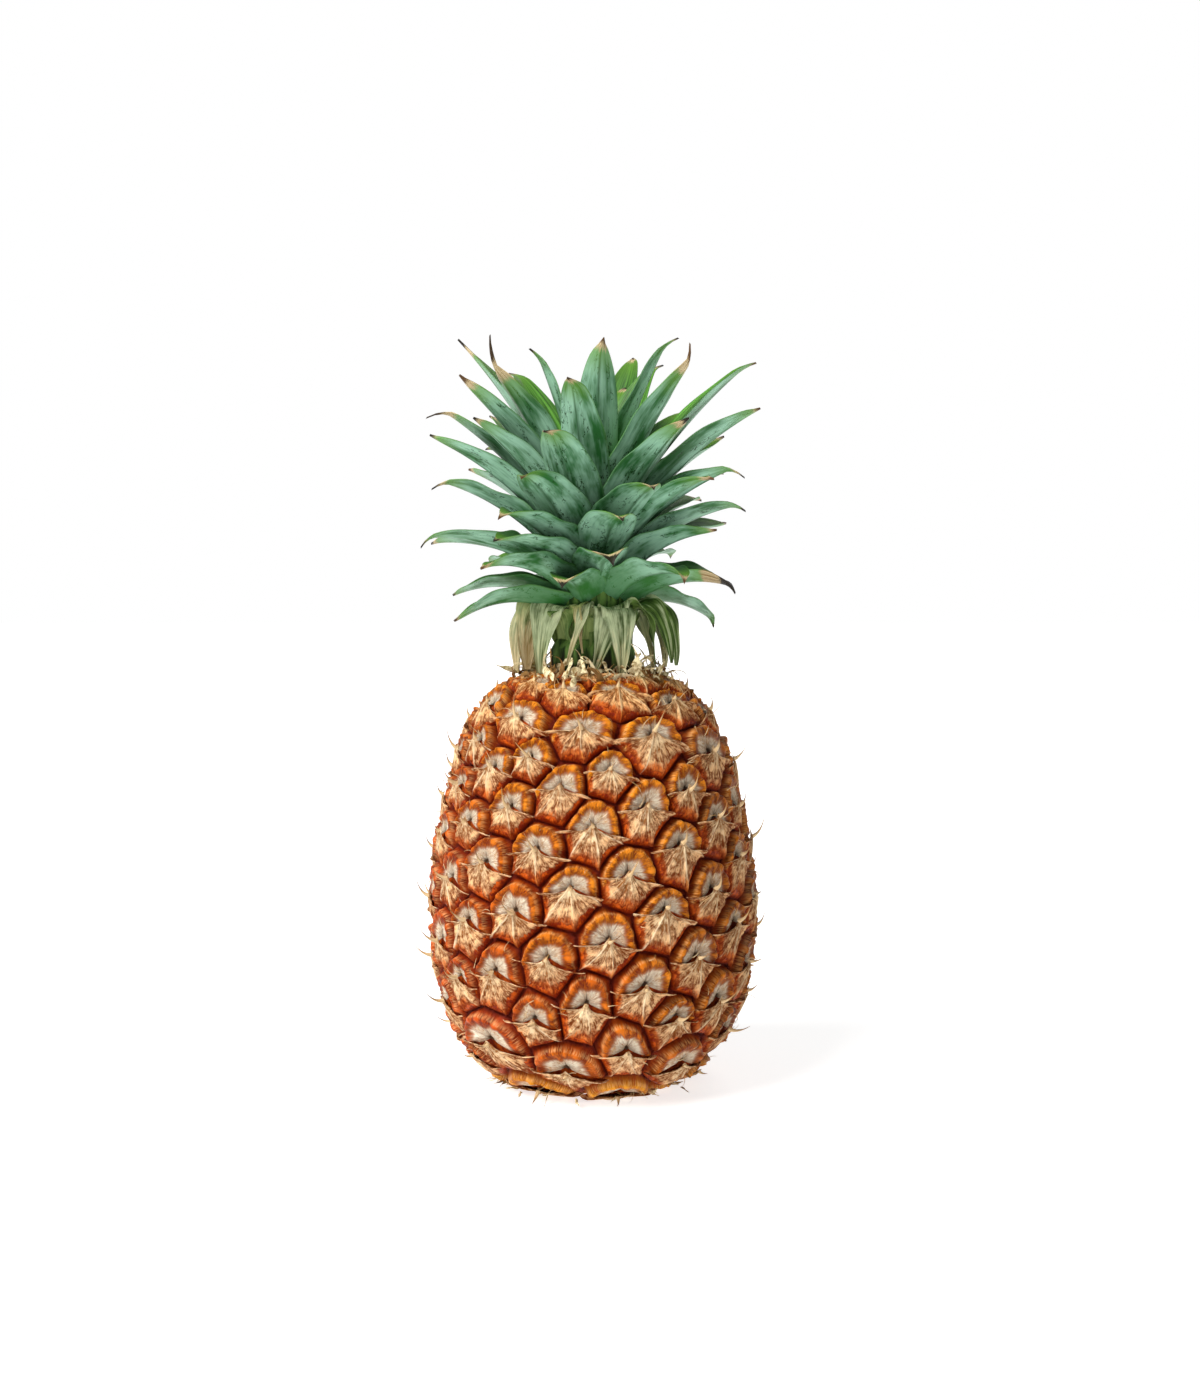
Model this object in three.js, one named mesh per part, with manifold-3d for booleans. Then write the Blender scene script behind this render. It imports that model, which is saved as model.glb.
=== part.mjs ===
// A whole ripe pineapple standing on its base: the fruit with its spiral rind of eyes, the cut stalk
// under it, the skirt of withered leaves round its neck and the leafy crown.
// Millimetres, +Z up. The origin is the middle of the base, on the surface the fruit stands on.
// Azimuths are in degrees, counter-clockwise seen from above, from 0 at the front (-Y) through +X.
import * as THREE from "three";
import { ConvexHull } from "three/addons/math/ConvexHull.js";
import { mergeVertices } from "three/addons/utils/BufferGeometryUtils.js";
import Module from "manifold-3d";

const wasm = await Module();
wasm.setup();

// ---- The fruit ----
// Half outline over the tops of the eyes, [radius, height], from the base to the neck.
const FRUIT_OUTLINE = [
  [0, -0.5], [17, -0.5], [30, 0.5], [42, 6.5], [49, 14], [55, 23.5], [59, 34.5],
  [61.6, 48], [63, 63], [62.2, 79], [60.5, 95], [57.5, 110], [53.7, 124], [49.4, 136],
  [44.3, 145], [39, 150.5], [32, 155.5], [21.8, 158.5], [0, 159],
];
const OUTLINE_STEPS = 900;
const GOLDEN_ANGLE = 137.508;
const AXIS_RADIUS = 0.02; // the poles of the outline keep this far off the axis
// The eyes wind up the fruit on one spiral, each a golden angle on from the last.
const EYE_AREA = 443; // at mid height
const EYE_AREA_SLOPE = -0.733; // the eyes are larger near the base than near the neck
const EYE_AREA_CURVE = 0.361;
const EYE_FIRST_AZIMUTH = 341.9;
const EYE_FIRST_COUNT = -6.94;
const EYE_LEAN = 6.7; // the rows sit this much higher on the -X side and lower on the +X side
const EYE_LEAN_NECK = -7; // the same near the neck, where they tip the other way
const LEAN_TURNS = [0.55, 0.85]; // shares of the arc from base to neck between which it changes
const GROOVE_DEPTH = 3.4;
const RIM_SHARE = 0.83; // how far out from the eye's centre its rim runs
const CAP_DISH = 0.9; // the woolly cap sinks this far below the rim
const BRACT_LIFT = 1.1; // the papery bract stands this far above the rim
const BRACT_CORNER = 92; // degrees from the upward line to where the bract's side wings end
const PIT_RISE = 2.5; // the pit in each eye and the spine over it sit this far above its middle
const SPINE_LENGTH = 6.5;
const SPINE_RISE = 3.5; // the spines curve up towards the crown
const SPINE_ROOT = 1.1; // half width
const SPINED_FROM = 0.17; // shares of the arc from base to neck; past them the bracts end in stubs
const SPINED_TO = 0.85;
const STUB_LENGTH = 1.2;
const STUB_RISE = 0.5;

// ---- The base ----
const STALK_TOP = 8;
const STALK_CUT = 0.8; // the cut end clears the floor by this much
const STALK_CLEARANCE = 1.6; // all round, between the stub and the rim of the base
const STALK_TAPER = 1;
const STALK_CHAMFER = 1.2;
const FOOT_INNER = 14;
const FOOT_OUTER = 29;
const FOOT_HEIGHT = 6;
const CUT_MARGIN = 20; // cuts run this far past the faces they open

// ---- The neck ----
const NECK_RADIUS = 16.6; // of the round recess that the crown and the withered leaves grow from
const NECK_FLOOR = 154;
const GAP = 0.3;
const COLLAR_INNER = 12.9;
const COLLAR_OUTER = 15.8;
const COLLAR_TOP = 172;
const WITHERED_COUNT = 17;
const WITHERED_FIRST_AZIMUTH = 12;
const WITHERED_FOLD = 187; // the highest pull of a strap's fold; the strap itself passes lower
const WITHERED_REACH = 32;
const WITHERED_HANG = 161;
const WITHERED_WIDTH = 12;
const WITHERED_THICKNESS = 0.8;
const WITHERED_CHANNEL = 0.12;
const WITHERED_TWIST = 0.5; // radians, either way
const WITHERED_STATIONS = [0, 0.32, 0.55, 0.78, 0.97];

// ---- The crown ----
const CROWN_STEM = [
  [12.5, NECK_FLOOR + GAP], [12.5, 179], [14.5, 186], [13, 197], [9.5, 208], [5, 218], [0, 224],
];
const LEAF_COUNT = 62;
const LEAF_FIRST_AZIMUTH = 156.5;
const LEAF_ROOT_LOW = 181;
const LEAF_ROOT_HIGH = 210;
const LEAF_ROOT_OUTER = 10;
const LEAF_ROOT_INNER = 2;
const LEAF_TIP_LOW = 183.5;
const LEAF_TIP_HIGH = 290;
const LEAF_REACH_LOW = 54;
const LEAF_REACH_WIDEST = 60;
const LEAF_REACH_INNER = 20;
const LEAF_WIDEST_AT = 0.7; // share of the leaves, from the lowest up, where they reach out furthest
const LEAF_ARCH_LOW = 0.2; // how far the leaf bows up from a straight line, as a share of its length
const LEAF_ARCH_HIGH = 0.05;
const LEAF_WIDTH = 20;
const LEAF_THICKNESS = 1.7;
const LEAF_EDGE = 0.7;
const LEAF_CHANNEL = 0.2; // depth of the leaf's channel as a share of its width
const LEAF_STATIONS = [0, 0.3, 0.58, 0.82];

// How single leaves stray from the crown's rule: [degrees round, mm up at the tip, mm further out].
const LEAF_HABITS = {
  1: [0, -6, 2], 2: [0, 5, 3], 4: [0, 3, -8], 5: [-8, -14, 0], 6: [0, -5, 0], 10: [0, -6, -6],
  12: [0, -2, 0], 14: [0, 3, 10], 15: [0, 3, -4], 17: [-11, -4, 0], 18: [0, 2, 0],
  19: [8, -7, 8], 20: [-17, -1, 0], 22: [24, -3, 0], 27: [0, 3, 2], 30: [13, -3, 0],
  31: [0, 0, -8], 33: [9, -12, -3], 35: [-6, 4, 3], 36: [0, -9, 0], 38: [2, -1, -4],
  40: [-20, -4, -10], 41: [2, -3, -3], 43: [-8, -4, -8], 44: [0, 0, 4], 46: [-11, 4, -10],
  48: [0, -6, 2], 49: [-5, 9, -7], 51: [-32, -3, 0], 52: [-4, 7, 10], 53: [8, 13, 2],
  54: [-16, 5, -22], 55: [0, 8, 0], 57: [4, 5, -15], 58: [12, -5, 4], 59: [166, -14, -8],
  60: [4, -7, 0], 61: [0, -6, 2],
};
const LEAVES_LOST = [25];

const SLIVER = 0.08;
const SEED = 20;

const { clamp, degToRad: rad, lerp, radToDeg: degrees } = THREE.MathUtils;

// Repeatable random numbers from 0 to 1, by a linear congruential generator.
function seeded(seed) {
  const RANGE = 2 ** 32;
  let state = seed;
  return () => {
    state = (state * 1664525 + 1013904223) % RANGE;
    return state / RANGE;
  };
}

// The direction away from the fruit's axis at an azimuth.
const outward = (azimuth) => new THREE.Vector3(Math.sin(azimuth), -Math.cos(azimuth), 0);
const UP = new THREE.Vector3(0, 0, 1);

// ---- Solids ----

function solidFrom(geometry) {
  const bare = geometry.clone();
  bare.deleteAttribute("normal");
  bare.deleteAttribute("uv");
  const merged = mergeVertices(bare, 1e-4);
  return new wasm.Manifold(
    new wasm.Mesh({
      numProp: 3,
      vertProperties: merged.attributes.position.array,
      triVerts: new Uint32Array(merged.index.array),
    }),
  );
}

function geometryFrom(solid) {
  const { vertProperties, triVerts } = solid.getMesh();
  return new THREE.BufferGeometry()
    .setAttribute("position", new THREE.BufferAttribute(vertProperties, 3))
    .setIndex(new THREE.BufferAttribute(triVerts, 1));
}

// Joins the solids, closes up slivers finer than the tolerance, keeps the one main body and leaves
// out scraps and sealed hollows.
function fused(solids) {
  const joined = solids.reduce((sum, solid) => sum.add(solid));
  const bodies = joined.simplify(SLIVER).decompose();
  return bodies.reduce((largest, body) => (body.volume() > largest.volume() ? body : largest));
}

// A round solid from a half outline of [radius, height] points, bottom to top.
function turned(outline, segments) {
  const points = outline.map(([radius, height]) => new THREE.Vector2(radius, height));
  const geometry = new THREE.LatheGeometry(points, segments);
  geometry.rotateX(Math.PI / 2);
  return solidFrom(geometry);
}

const ring = (inner, outer, bottom, top) => [
  [inner, bottom], [outer, bottom], [outer, top], [inner, top], [inner, bottom],
];

const plug = (radius, bottom, top) => [[0, bottom], [radius, bottom], [radius, top], [0, top]];

function meshOf(name, solid, color, roughness) {
  const material = new THREE.MeshStandardMaterial({ color, roughness, metalness: 0, flatShading: true });
  const mesh = new THREE.Mesh(geometryFrom(solid), material);
  mesh.name = name;
  return mesh;
}

// ---- The fruit's surface ----

// Samples of the outline with what the eye spiral needs at each one: the arc length from the base,
// the number of eyes below it, and a stretch that maps the fruit onto a ball with no change of angles.
function sampledOutline() {
  const curve = new THREE.SplineCurve(FRUIT_OUTLINE.map(([r, z]) => new THREE.Vector2(r, z)));
  const points = curve.getPoints(OUTLINE_STEPS).map((p) => ({ r: Math.max(p.x, AXIS_RADIUS), z: p.y }));
  const step = (i) => Math.hypot(points[i].r - points[i - 1].r, points[i].z - points[i - 1].z);
  points[0].arc = 0;
  for (let i = 1; i < points.length; i++) points[i].arc = points[i - 1].arc + step(i);
  const length = points.at(-1).arc;
  const eyeArea = (arc) => {
    const t = arc / length - 0.5;
    return EYE_AREA * (1 + EYE_AREA_SLOPE * t + EYE_AREA_CURVE * t * t);
  };
  points[0].count = 0;
  points[0].stretch = 0;
  for (let i = 1; i < points.length; i++) {
    const r = (points[i].r + points[i - 1].r) / 2;
    const arc = (points[i].arc + points[i - 1].arc) / 2;
    points[i].count = points[i - 1].count + (2 * Math.PI * r * step(i)) / eyeArea(arc);
    points[i].stretch = points[i - 1].stretch + step(i) / r;
  }
  return points;
}

const outline = sampledOutline();
const arcLength = outline.at(-1).arc;
const middle = outline[OUTLINE_STEPS / 2].stretch;

// The outline's values where one of them reaches a given amount.
function outlineAt(key, amount) {
  let low = 0;
  let high = outline.length - 1;
  while (high - low > 1) {
    const half = (low + high) >> 1;
    if (outline[half][key] > amount) high = half;
    else low = half;
  }
  const a = outline[low];
  const b = outline[high];
  const share = clamp((amount - a[key]) / (b[key] - a[key]), 0, 1);
  const along = new THREE.Vector2(b.r - a.r, b.z - a.z).normalize();
  const at = (name) => lerp(a[name], b[name], share);
  return { r: at("r"), z: at("z"), arc: at("arc"), count: at("count"), stretch: at("stretch"), along };
}

// The point of the unit ball that stands for a place on the fruit.
function ballPoint(azimuth, stretch) {
  const latitude = 2 * Math.atan(Math.exp(stretch - middle)) - Math.PI / 2;
  return outward(azimuth).multiplyScalar(Math.cos(latitude)).addScaledVector(UP, Math.sin(latitude));
}

// The place on the fruit for a point of the ball: its position over the eyes, its normal and the
// directions to the crown and round to the right.
function fruitPlace(direction) {
  const ball = direction.clone().normalize();
  const azimuth = Math.atan2(ball.x, -ball.y);
  const latitude = Math.asin(clamp(ball.z, -1, 1));
  const stretch = middle + Math.log(Math.tan(latitude / 2 + Math.PI / 4));
  const { r, z, arc, along } = outlineAt("stretch", stretch);
  const out = outward(azimuth);
  const crownward = out.clone().multiplyScalar(along.x).addScaledVector(UP, along.y);
  const normal = out.clone().multiplyScalar(along.y).addScaledVector(UP, -along.x);
  const right = crownward.clone().cross(normal);
  const point = out.clone().multiplyScalar(r).addScaledVector(UP, z);
  return { point, normal, crownward, right, arc };
}

// The centres of the eyes, as points of the ball.
function eyeCentres() {
  const centres = [];
  const total = outline.at(-1).count;
  for (let k = Math.ceil(-EYE_FIRST_COUNT); k + EYE_FIRST_COUNT < total; k++) {
    const azimuth = rad(EYE_FIRST_AZIMUTH + GOLDEN_ANGLE * k);
    const upright = outlineAt("count", k + EYE_FIRST_COUNT).arc;
    const edge = outline[1].arc;
    const tipped = THREE.MathUtils.smoothstep(upright / arcLength, ...LEAN_TURNS);
    const lean = lerp(EYE_LEAN, EYE_LEAN_NECK, tipped);
    const leaned = clamp(upright - lean * Math.sin(azimuth), edge, arcLength - edge);
    centres.push(ballPoint(azimuth, outlineAt("arc", leaned).stretch));
  }
  return centres;
}

// For each eye, its neighbours in order round it, counter-clockwise seen from outside.
function neighboursInOrder(centres) {
  const index = new Map(centres.map((centre, i) => [centre, i]));
  const after = centres.map(() => new Map());
  for (const { edge } of new ConvexHull().setFromPoints(centres).faces) {
    const [a, b, c] = [edge.prev, edge, edge.next].map((side) => index.get(side.head().point));
    after[a].set(b, c);
    after[b].set(c, a);
    after[c].set(a, b);
  }
  return after.map((next) => {
    const order = [next.keys().next().value];
    while (order.length < next.size) order.push(next.get(order.at(-1)));
    return order;
  });
}

// A list of triangles that share their corners by name, so the whole rind closes on itself.
class Rind {
  constructor() {
    this.positions = [];
    this.index = [];
    this.named = new Map();
  }

  add(point) {
    this.positions.push(point.x, point.y, point.z);
    return this.positions.length / 3 - 1;
  }

  shared(name, make) {
    if (!this.named.has(name)) this.named.set(name, this.add(make()));
    return this.named.get(name);
  }

  triangle(a, b, c) {
    this.index.push(a, b, c);
  }

  // Triangles from one point to each side of a closed loop.
  fan(apex, loop) {
    loop.forEach((corner, i) => this.triangle(apex, corner, loop[(i + 1) % loop.length]));
  }

  geometry() {
    return new THREE.BufferGeometry()
      .setAttribute("position", new THREE.Float32BufferAttribute(this.positions, 3))
      .setIndex(this.index);
  }
}

const raised = (place, height) =>
  place.point.clone().addScaledVector(place.normal, height - GROOVE_DEPTH);

// The groove round one eye: the ball points of its corners and of the middles between them.
function grooveRing(centres, order, i) {
  const corner = (a, b) => centres[i].clone().add(centres[a]).add(centres[b]).normalize();
  const named = (eyes, ball) => ({ name: eyes.sort((x, y) => x - y).join(), ball });
  return order.flatMap((b, n) => {
    const c = order[(n + 1) % order.length];
    const d = order[(n + 2) % order.length];
    const here = corner(b, c);
    const next = corner(c, d);
    return [named([i, b, c], here), named([i, c], here.clone().add(next).normalize())];
  });
}

// One eye: a sloping wall up from the groove to the rim, the dished woolly cap in its upper part,
// the raised papery bract in its lower part and the spine that the bract ends in.
function addEye(rind, centres, order, i) {
  const groove = grooveRing(centres, order, i);
  const middleOf = groove.reduce((sum, p) => sum.add(p.ball), new THREE.Vector3()).normalize();
  const centre = fruitPlace(middleOf);
  const low = groove.map(({ name, ball }) => rind.shared(name, () => raised(fruitPlace(ball), 0)));
  const rimPlaces = groove.map(({ ball }) => fruitPlace(middleOf.clone().lerp(ball, RIM_SHARE)));
  const rim = rimPlaces.map((place) => rind.add(raised(place, GROOVE_DEPTH)));
  low.forEach((a, n) => {
    const next = (n + 1) % low.length;
    rind.triangle(a, low[next], rim[next]);
    rind.triangle(a, rim[next], rim[n]);
  });

  // Degrees clockwise from the upward line, for each rim point.
  const turn = rimPlaces.map(({ point }) => {
    const offset = point.clone().sub(centre.point);
    return degrees(Math.atan2(offset.dot(centre.right), offset.dot(centre.crownward)));
  });
  const nearest = (angle) => {
    const miss = turn.map((value) => Math.abs(value - angle));
    return miss.indexOf(Math.min(...miss));
  };
  const rightEnd = nearest(BRACT_CORNER);
  const leftEnd = nearest(-BRACT_CORNER);
  const between = (from, to) => {
    const run = [rim[from]];
    for (let n = from; n !== to; n = (n + 1) % rim.length) run.push(rim[(n + 1) % rim.length]);
    return run;
  };

  const size = rimPlaces[0].point.distanceTo(centre.point);
  const at = (across, upward, height) =>
    rind.add(
      raised(centre, height)
        .addScaledVector(centre.right, across)
        .addScaledVector(centre.crownward, upward),
    );
  const spined = centre.arc > SPINED_FROM * arcLength && centre.arc < SPINED_TO * arcLength;
  const bractHeight = GROOVE_DEPTH + BRACT_LIFT;
  const rootAbove = at(0, PIT_RISE + 0.3 * SPINE_ROOT, bractHeight - 1);
  const rootLeft = at(-SPINE_ROOT, PIT_RISE - 0.4 * SPINE_ROOT, bractHeight);
  const rootRight = at(SPINE_ROOT, PIT_RISE - 0.4 * SPINE_ROOT, bractHeight);
  const rootBelow = at(0, PIT_RISE - 2 * SPINE_ROOT, bractHeight);
  const [tipRise, tipLength] = spined ? [SPINE_RISE, SPINE_LENGTH] : [STUB_RISE, STUB_LENGTH];
  const tip = at(0, PIT_RISE + tipRise, bractHeight + tipLength);
  rind.fan(tip, [rootRight, rootAbove, rootLeft, rootBelow]);
  const cap = at(0, (size + PIT_RISE) / 2, GROOVE_DEPTH - CAP_DISH);
  rind.fan(cap, [...between(rightEnd, leftEnd), rootLeft, rootAbove, rootRight]);
  const bract = at(0, (PIT_RISE - size) / 2, GROOVE_DEPTH + BRACT_LIFT / 2);
  rind.fan(bract, [...between(leftEnd, rightEnd), rootRight, rootBelow, rootLeft]);
}

function fruitSolid() {
  const centres = eyeCentres();
  const orders = neighboursInOrder(centres);
  const rind = new Rind();
  centres.forEach((_, i) => addEye(rind, centres, orders[i], i));
  const body = solidFrom(rind.geometry());
  const foot = turned(plug(FOOT_OUTER, 0, FOOT_HEIGHT), 32);
  const belowFloor = turned(plug(2 * FOOT_OUTER, -CUT_MARGIN, 0), 8);
  const stalkHole = turned(plug(FOOT_INNER, -CUT_MARGIN, STALK_TOP + GAP), 16);
  const neckHole = turned(plug(NECK_RADIUS, NECK_FLOOR, NECK_FLOOR + CUT_MARGIN), 16);
  return fused([body.add(foot).subtract(belowFloor).subtract(stalkHole).subtract(neckHole)]);
}

// The woody stub left where the fruit was cut, up inside the base.
function stalkSolid() {
  const outer = FOOT_INNER - STALK_CLEARANCE;
  const side = [[outer - STALK_TAPER, STALK_CUT + STALK_CHAMFER], [outer, STALK_TOP]];
  const cutEnd = [outer - STALK_TAPER - STALK_CHAMFER, STALK_CUT];
  return turned([[0, STALK_CUT], cutEnd, ...side, [0, STALK_TOP]], 14);
}

// ---- Leaves ----

// A strap-shaped leaf along a curve in the plane of its azimuth. curve holds [radius, height] points
// of a Bezier curve. Each cross-section has an edge, a midrib and an edge on both faces, and the
// edges stand up towards the stem by the channel.
function strap({ azimuth, curve, stations, width, thickness, edge, channel, twist = 0 }) {
  const out = outward(azimuth);
  const side = new THREE.Vector3().crossVectors(UP, out);
  const points = curve.map(([r, z]) => out.clone().multiplyScalar(r).addScaledVector(UP, z));
  const path = new THREE.CubicBezierCurve3(...points);
  const positions = [];
  const index = [];
  const put = (point) => positions.push(point.x, point.y, point.z);
  stations.forEach((u) => {
    const middlePoint = path.getPoint(u);
    const along = path.getTangent(u);
    const across = side.clone().applyAxisAngle(along, twist * u);
    const face = along.clone().cross(across).normalize();
    const half = width(u) / 2;
    const lift = channel * width(u) * (1 - 0.4 * u);
    const place = (x, y) => put(middlePoint.clone().addScaledVector(across, x).addScaledVector(face, y));
    place(-half, lift);
    place(-half, lift - edge);
    place(0, -thickness * (1 - 0.5 * u));
    place(half, lift - edge);
    place(half, lift);
    place(0, 0);
  });
  const last = (stations.length - 1) * 6;
  for (let base = 0; base < last; base += 6) {
    for (let n = 0; n < 6; n++) {
      const a = base + n;
      const b = base + ((n + 1) % 6);
      index.push(a, b, b + 6, a, b + 6, a + 6);
    }
  }
  index.push(0, 5, 1, 1, 5, 2, 2, 5, 3, 3, 5, 4);
  put(path.getPoint(1));
  const tip = last + 6;
  for (let n = 0; n < 6; n++) index.push(last + n, last + ((n + 1) % 6), tip);
  return solidFrom(
    new THREE.BufferGeometry()
      .setAttribute("position", new THREE.Float32BufferAttribute(positions, 3))
      .setIndex(index),
  );
}

// Leaf k of the crown, counted from the lowest. The lower ones arch over, the inner ones stand up.
function crownLeaf(k) {
  const t = k / (LEAF_COUNT - 1);
  const [strayRound, strayUp, strayOut] = LEAF_HABITS[k] ?? [0, 0, 0];
  const azimuth = rad(LEAF_FIRST_AZIMUTH + GOLDEN_ANGLE * k + strayRound);
  const opening = Math.sin((Math.PI / 2) * Math.min(1, t / LEAF_WIDEST_AT));
  const closing = Math.max(0, (t - LEAF_WIDEST_AT) / (1 - LEAF_WIDEST_AT));
  const ruled =
    t < LEAF_WIDEST_AT
      ? lerp(LEAF_REACH_LOW, LEAF_REACH_WIDEST, opening)
      : lerp(LEAF_REACH_INNER, LEAF_REACH_WIDEST, Math.sqrt(Math.max(0, 1 - closing * closing)));
  const reach = ruled + strayOut;
  const rootHeight = lerp(LEAF_ROOT_LOW, LEAF_ROOT_HIGH, t);
  const rootRadius = lerp(LEAF_ROOT_OUTER, LEAF_ROOT_INNER, t);
  const tipHeight = lerp(LEAF_TIP_LOW, LEAF_TIP_HIGH, t) + strayUp;
  const rise = tipHeight - rootHeight;
  const run = reach - rootRadius;
  const length = Math.hypot(rise, run);
  const arch = lerp(LEAF_ARCH_LOW, LEAF_ARCH_HIGH, t) * length;
  const bow = (share) => [
    rootRadius + run * share - (rise / length) * arch,
    rootHeight + rise * share + (run / length) * arch,
  ];
  const widest = LEAF_WIDTH * (0.78 + 0.22 * Math.sin(Math.PI * Math.min(1, t * 1.2)));
  return strap({
    azimuth,
    curve: [[rootRadius, rootHeight], bow(0.3), bow(0.68), [reach, tipHeight]],
    stations: LEAF_STATIONS,
    width: (u) => widest * (1 - u ** 4) ** 0.9,
    thickness: LEAF_THICKNESS,
    edge: LEAF_EDGE,
    channel: LEAF_CHANNEL,
  });
}

function crownSolid() {
  const solids = [turned([[0, CROWN_STEM[0][1]], ...CROWN_STEM], 14)];
  for (let k = 0; k < LEAF_COUNT; k++) if (!LEAVES_LOST.includes(k)) solids.push(crownLeaf(k));
  return fused(solids);
}

// The oldest leaves have dried to pale straps that fold over and hang down round the neck.
function witheredSolid() {
  const random = seeded(SEED);
  const solids = [turned(ring(COLLAR_INNER, COLLAR_OUTER, NECK_FLOOR + GAP, COLLAR_TOP), 16)];
  for (let k = 0; k < WITHERED_COUNT; k++) {
    const fold = lerp(WITHERED_FOLD - 4, WITHERED_FOLD, random());
    const reach = lerp(WITHERED_REACH - 4, WITHERED_REACH, random());
    const hang = WITHERED_HANG + lerp(0, 4, random());
    const width = WITHERED_WIDTH * lerp(0.7, 1.15, random());
    solids.push(
      strap({
        azimuth: rad(WITHERED_FIRST_AZIMUTH + GOLDEN_ANGLE * k),
        curve: [[14.4, 164], [15, fold], [reach - 3, fold], [reach, hang]],
        stations: WITHERED_STATIONS,
        width: (u) => width * (1 - 0.65 * u ** 3),
        thickness: WITHERED_THICKNESS,
        edge: WITHERED_THICKNESS,
        channel: WITHERED_CHANNEL,
        twist: lerp(-WITHERED_TWIST, WITHERED_TWIST, random()),
      }),
    );
  }
  return fused(solids);
}

const pineapple = new THREE.Group();
pineapple.add(
  meshOf("fruit", fruitSolid(), "#c8762c", 0.6),
  meshOf("stalk", stalkSolid(), "#7d5c3a", 0.9),
  meshOf("withered_leaves", witheredSolid(), "#b9b490", 0.85),
  meshOf("crown", crownSolid(), "#5d8c74", 0.5),
);

export default pineapple;
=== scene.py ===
"""A whole ripe pineapple standing on its base, dressed over its construction solids.

Every length is worked out in millimetres and turned into metres when a mesh is made. Azimuths are
in degrees, counter-clockwise seen from above, from 0 at the front (-Y) through +X. The eyes are
laid out on a ball of radius 1, and each place on the ball stands for one on the fruit.
"""
import functools
import math
from collections.abc import Callable
from dataclasses import dataclass

import bpy
import numpy as np
from bpy.props import FloatProperty, FloatVectorProperty, IntProperty, PointerProperty
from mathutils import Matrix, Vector


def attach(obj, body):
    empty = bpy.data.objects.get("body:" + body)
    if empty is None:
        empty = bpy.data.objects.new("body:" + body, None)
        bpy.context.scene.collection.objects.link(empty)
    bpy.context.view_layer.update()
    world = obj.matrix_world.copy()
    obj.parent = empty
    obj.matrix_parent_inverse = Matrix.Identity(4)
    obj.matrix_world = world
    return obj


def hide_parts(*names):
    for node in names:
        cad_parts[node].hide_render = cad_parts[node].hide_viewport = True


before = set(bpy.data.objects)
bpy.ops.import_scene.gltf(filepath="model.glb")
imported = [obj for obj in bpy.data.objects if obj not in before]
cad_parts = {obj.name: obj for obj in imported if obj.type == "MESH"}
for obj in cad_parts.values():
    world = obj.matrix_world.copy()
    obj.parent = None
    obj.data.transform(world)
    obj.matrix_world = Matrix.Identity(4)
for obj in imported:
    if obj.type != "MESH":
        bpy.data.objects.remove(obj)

bl_info = {
    "name": "Pineapple",
    "version": (1, 0, 0),
    "blender": (4, 5, 0),
    "location": "View3D > Sidebar > Pineapple",
    "description": "Builds a pineapple's rind, bracts, spines, crown and stage round its solids",
    "category": "Object",
}

MM = 0.001
UP = np.array([0.0, 0.0, 1.0])
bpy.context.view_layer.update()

# ---- The fruit ----
# Half outline over the tops of the eyes, (radius, height), from the base to the neck.
FRUIT_OUTLINE = [
    (0, -0.5), (17, -0.5), (30, 0.5), (42, 6.5), (49, 14), (55, 23.5), (59, 34.5),
    (61.6, 48), (63, 63), (62.2, 79), (60.5, 95), (57.5, 110), (53.7, 124), (49.4, 136),
    (44.3, 145), (39, 150.5), (32, 155.5), (21.8, 158.5), (0, 159),
]
OUTLINE_STEPS = 900
AXIS_RADIUS = 0.02  # the outline stops this short of the axis
# The ground under one eye half way up, in square millimetres, and how it changes with height.
EYE_AREA = 443
EYE_AREA_SLOPE = -0.733
EYE_AREA_CURVE = 0.361
# The spiral of eyes: the azimuth of eye 0, and its place in the count of eyes from the base up.
GOLDEN_ANGLE = 137.508
EYE_FIRST_AZIMUTH = 341.9
EYE_FIRST_COUNT = -6.94
# How far the rows dip at the right, below and above the shares of the way up where that turns.
EYE_LEAN = 6.7
EYE_LEAN_NECK = -7
LEAN_TURNS = (0.55, 0.85)
PIT_RISE = 2.5  # how much nearer the crown than its middle an eye has its pit
GROOVE_DEPTH = 3.4
GROOVE_STEPS = 10  # from one corner of an eye to the next
# How far the grooves wander, as a share of the ball's radius, and by how many waves.
WARP = 0.026
WARP_WAVES = 8
# The hollows that take the stalk and the stem, and the heights that they lie beyond.
FOOT_INNER = 14
FOOT_BELOW = 30
STALK_TOP = 8
STALK_GAP = 0.3
NECK_RADIUS = 16.6
NECK_ABOVE = 130
NECK_FLOOR = 154
HOLLOW_EDGE = 3
# An eye whose middle is nearer to the stalk or the neck than this doesn't show.
FOOT_CLEARANCE = 8
NECK_CLEARANCE = 4

SEED = 20
rng = np.random.default_rng(SEED)


# ---- Small helpers ----

def reseed(number):
    """Starts the chances again, so that the same part is made the same every time."""
    rng.bit_generator.state = np.random.default_rng(SEED + number).bit_generator.state


def lerp(a, b, share):
    return a + (b - a) * share


def smooth(value, low, high):
    """0 below low, 1 above high, with a smooth rise between."""
    share = np.clip((value - low) / (high - low), 0, 1)
    return share * share * (3 - 2 * share)


def rgb(*shown):
    """A colour given as it shows on a screen, 0 to 255, in the linear numbers that shaders use."""
    return tuple(((c / 255 + 0.055) / 1.055) ** 2.4 if c > 10 else c / 3295 for c in shown)


def unit(vectors):
    return vectors / np.linalg.norm(vectors, axis=-1, keepdims=True)


def outward(azimuth):
    """The direction away from the axis, for azimuths in radians."""
    return np.stack([np.sin(azimuth), -np.cos(azimuth), np.zeros_like(azimuth)], -1)


def dot(a, b):
    return np.sum(a * b, -1)


def deselect():
    bpy.ops.object.select_all(action="DESELECT")


def choose(piece):
    deselect()
    piece.select_set(True)
    bpy.context.view_layer.objects.active = piece


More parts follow.
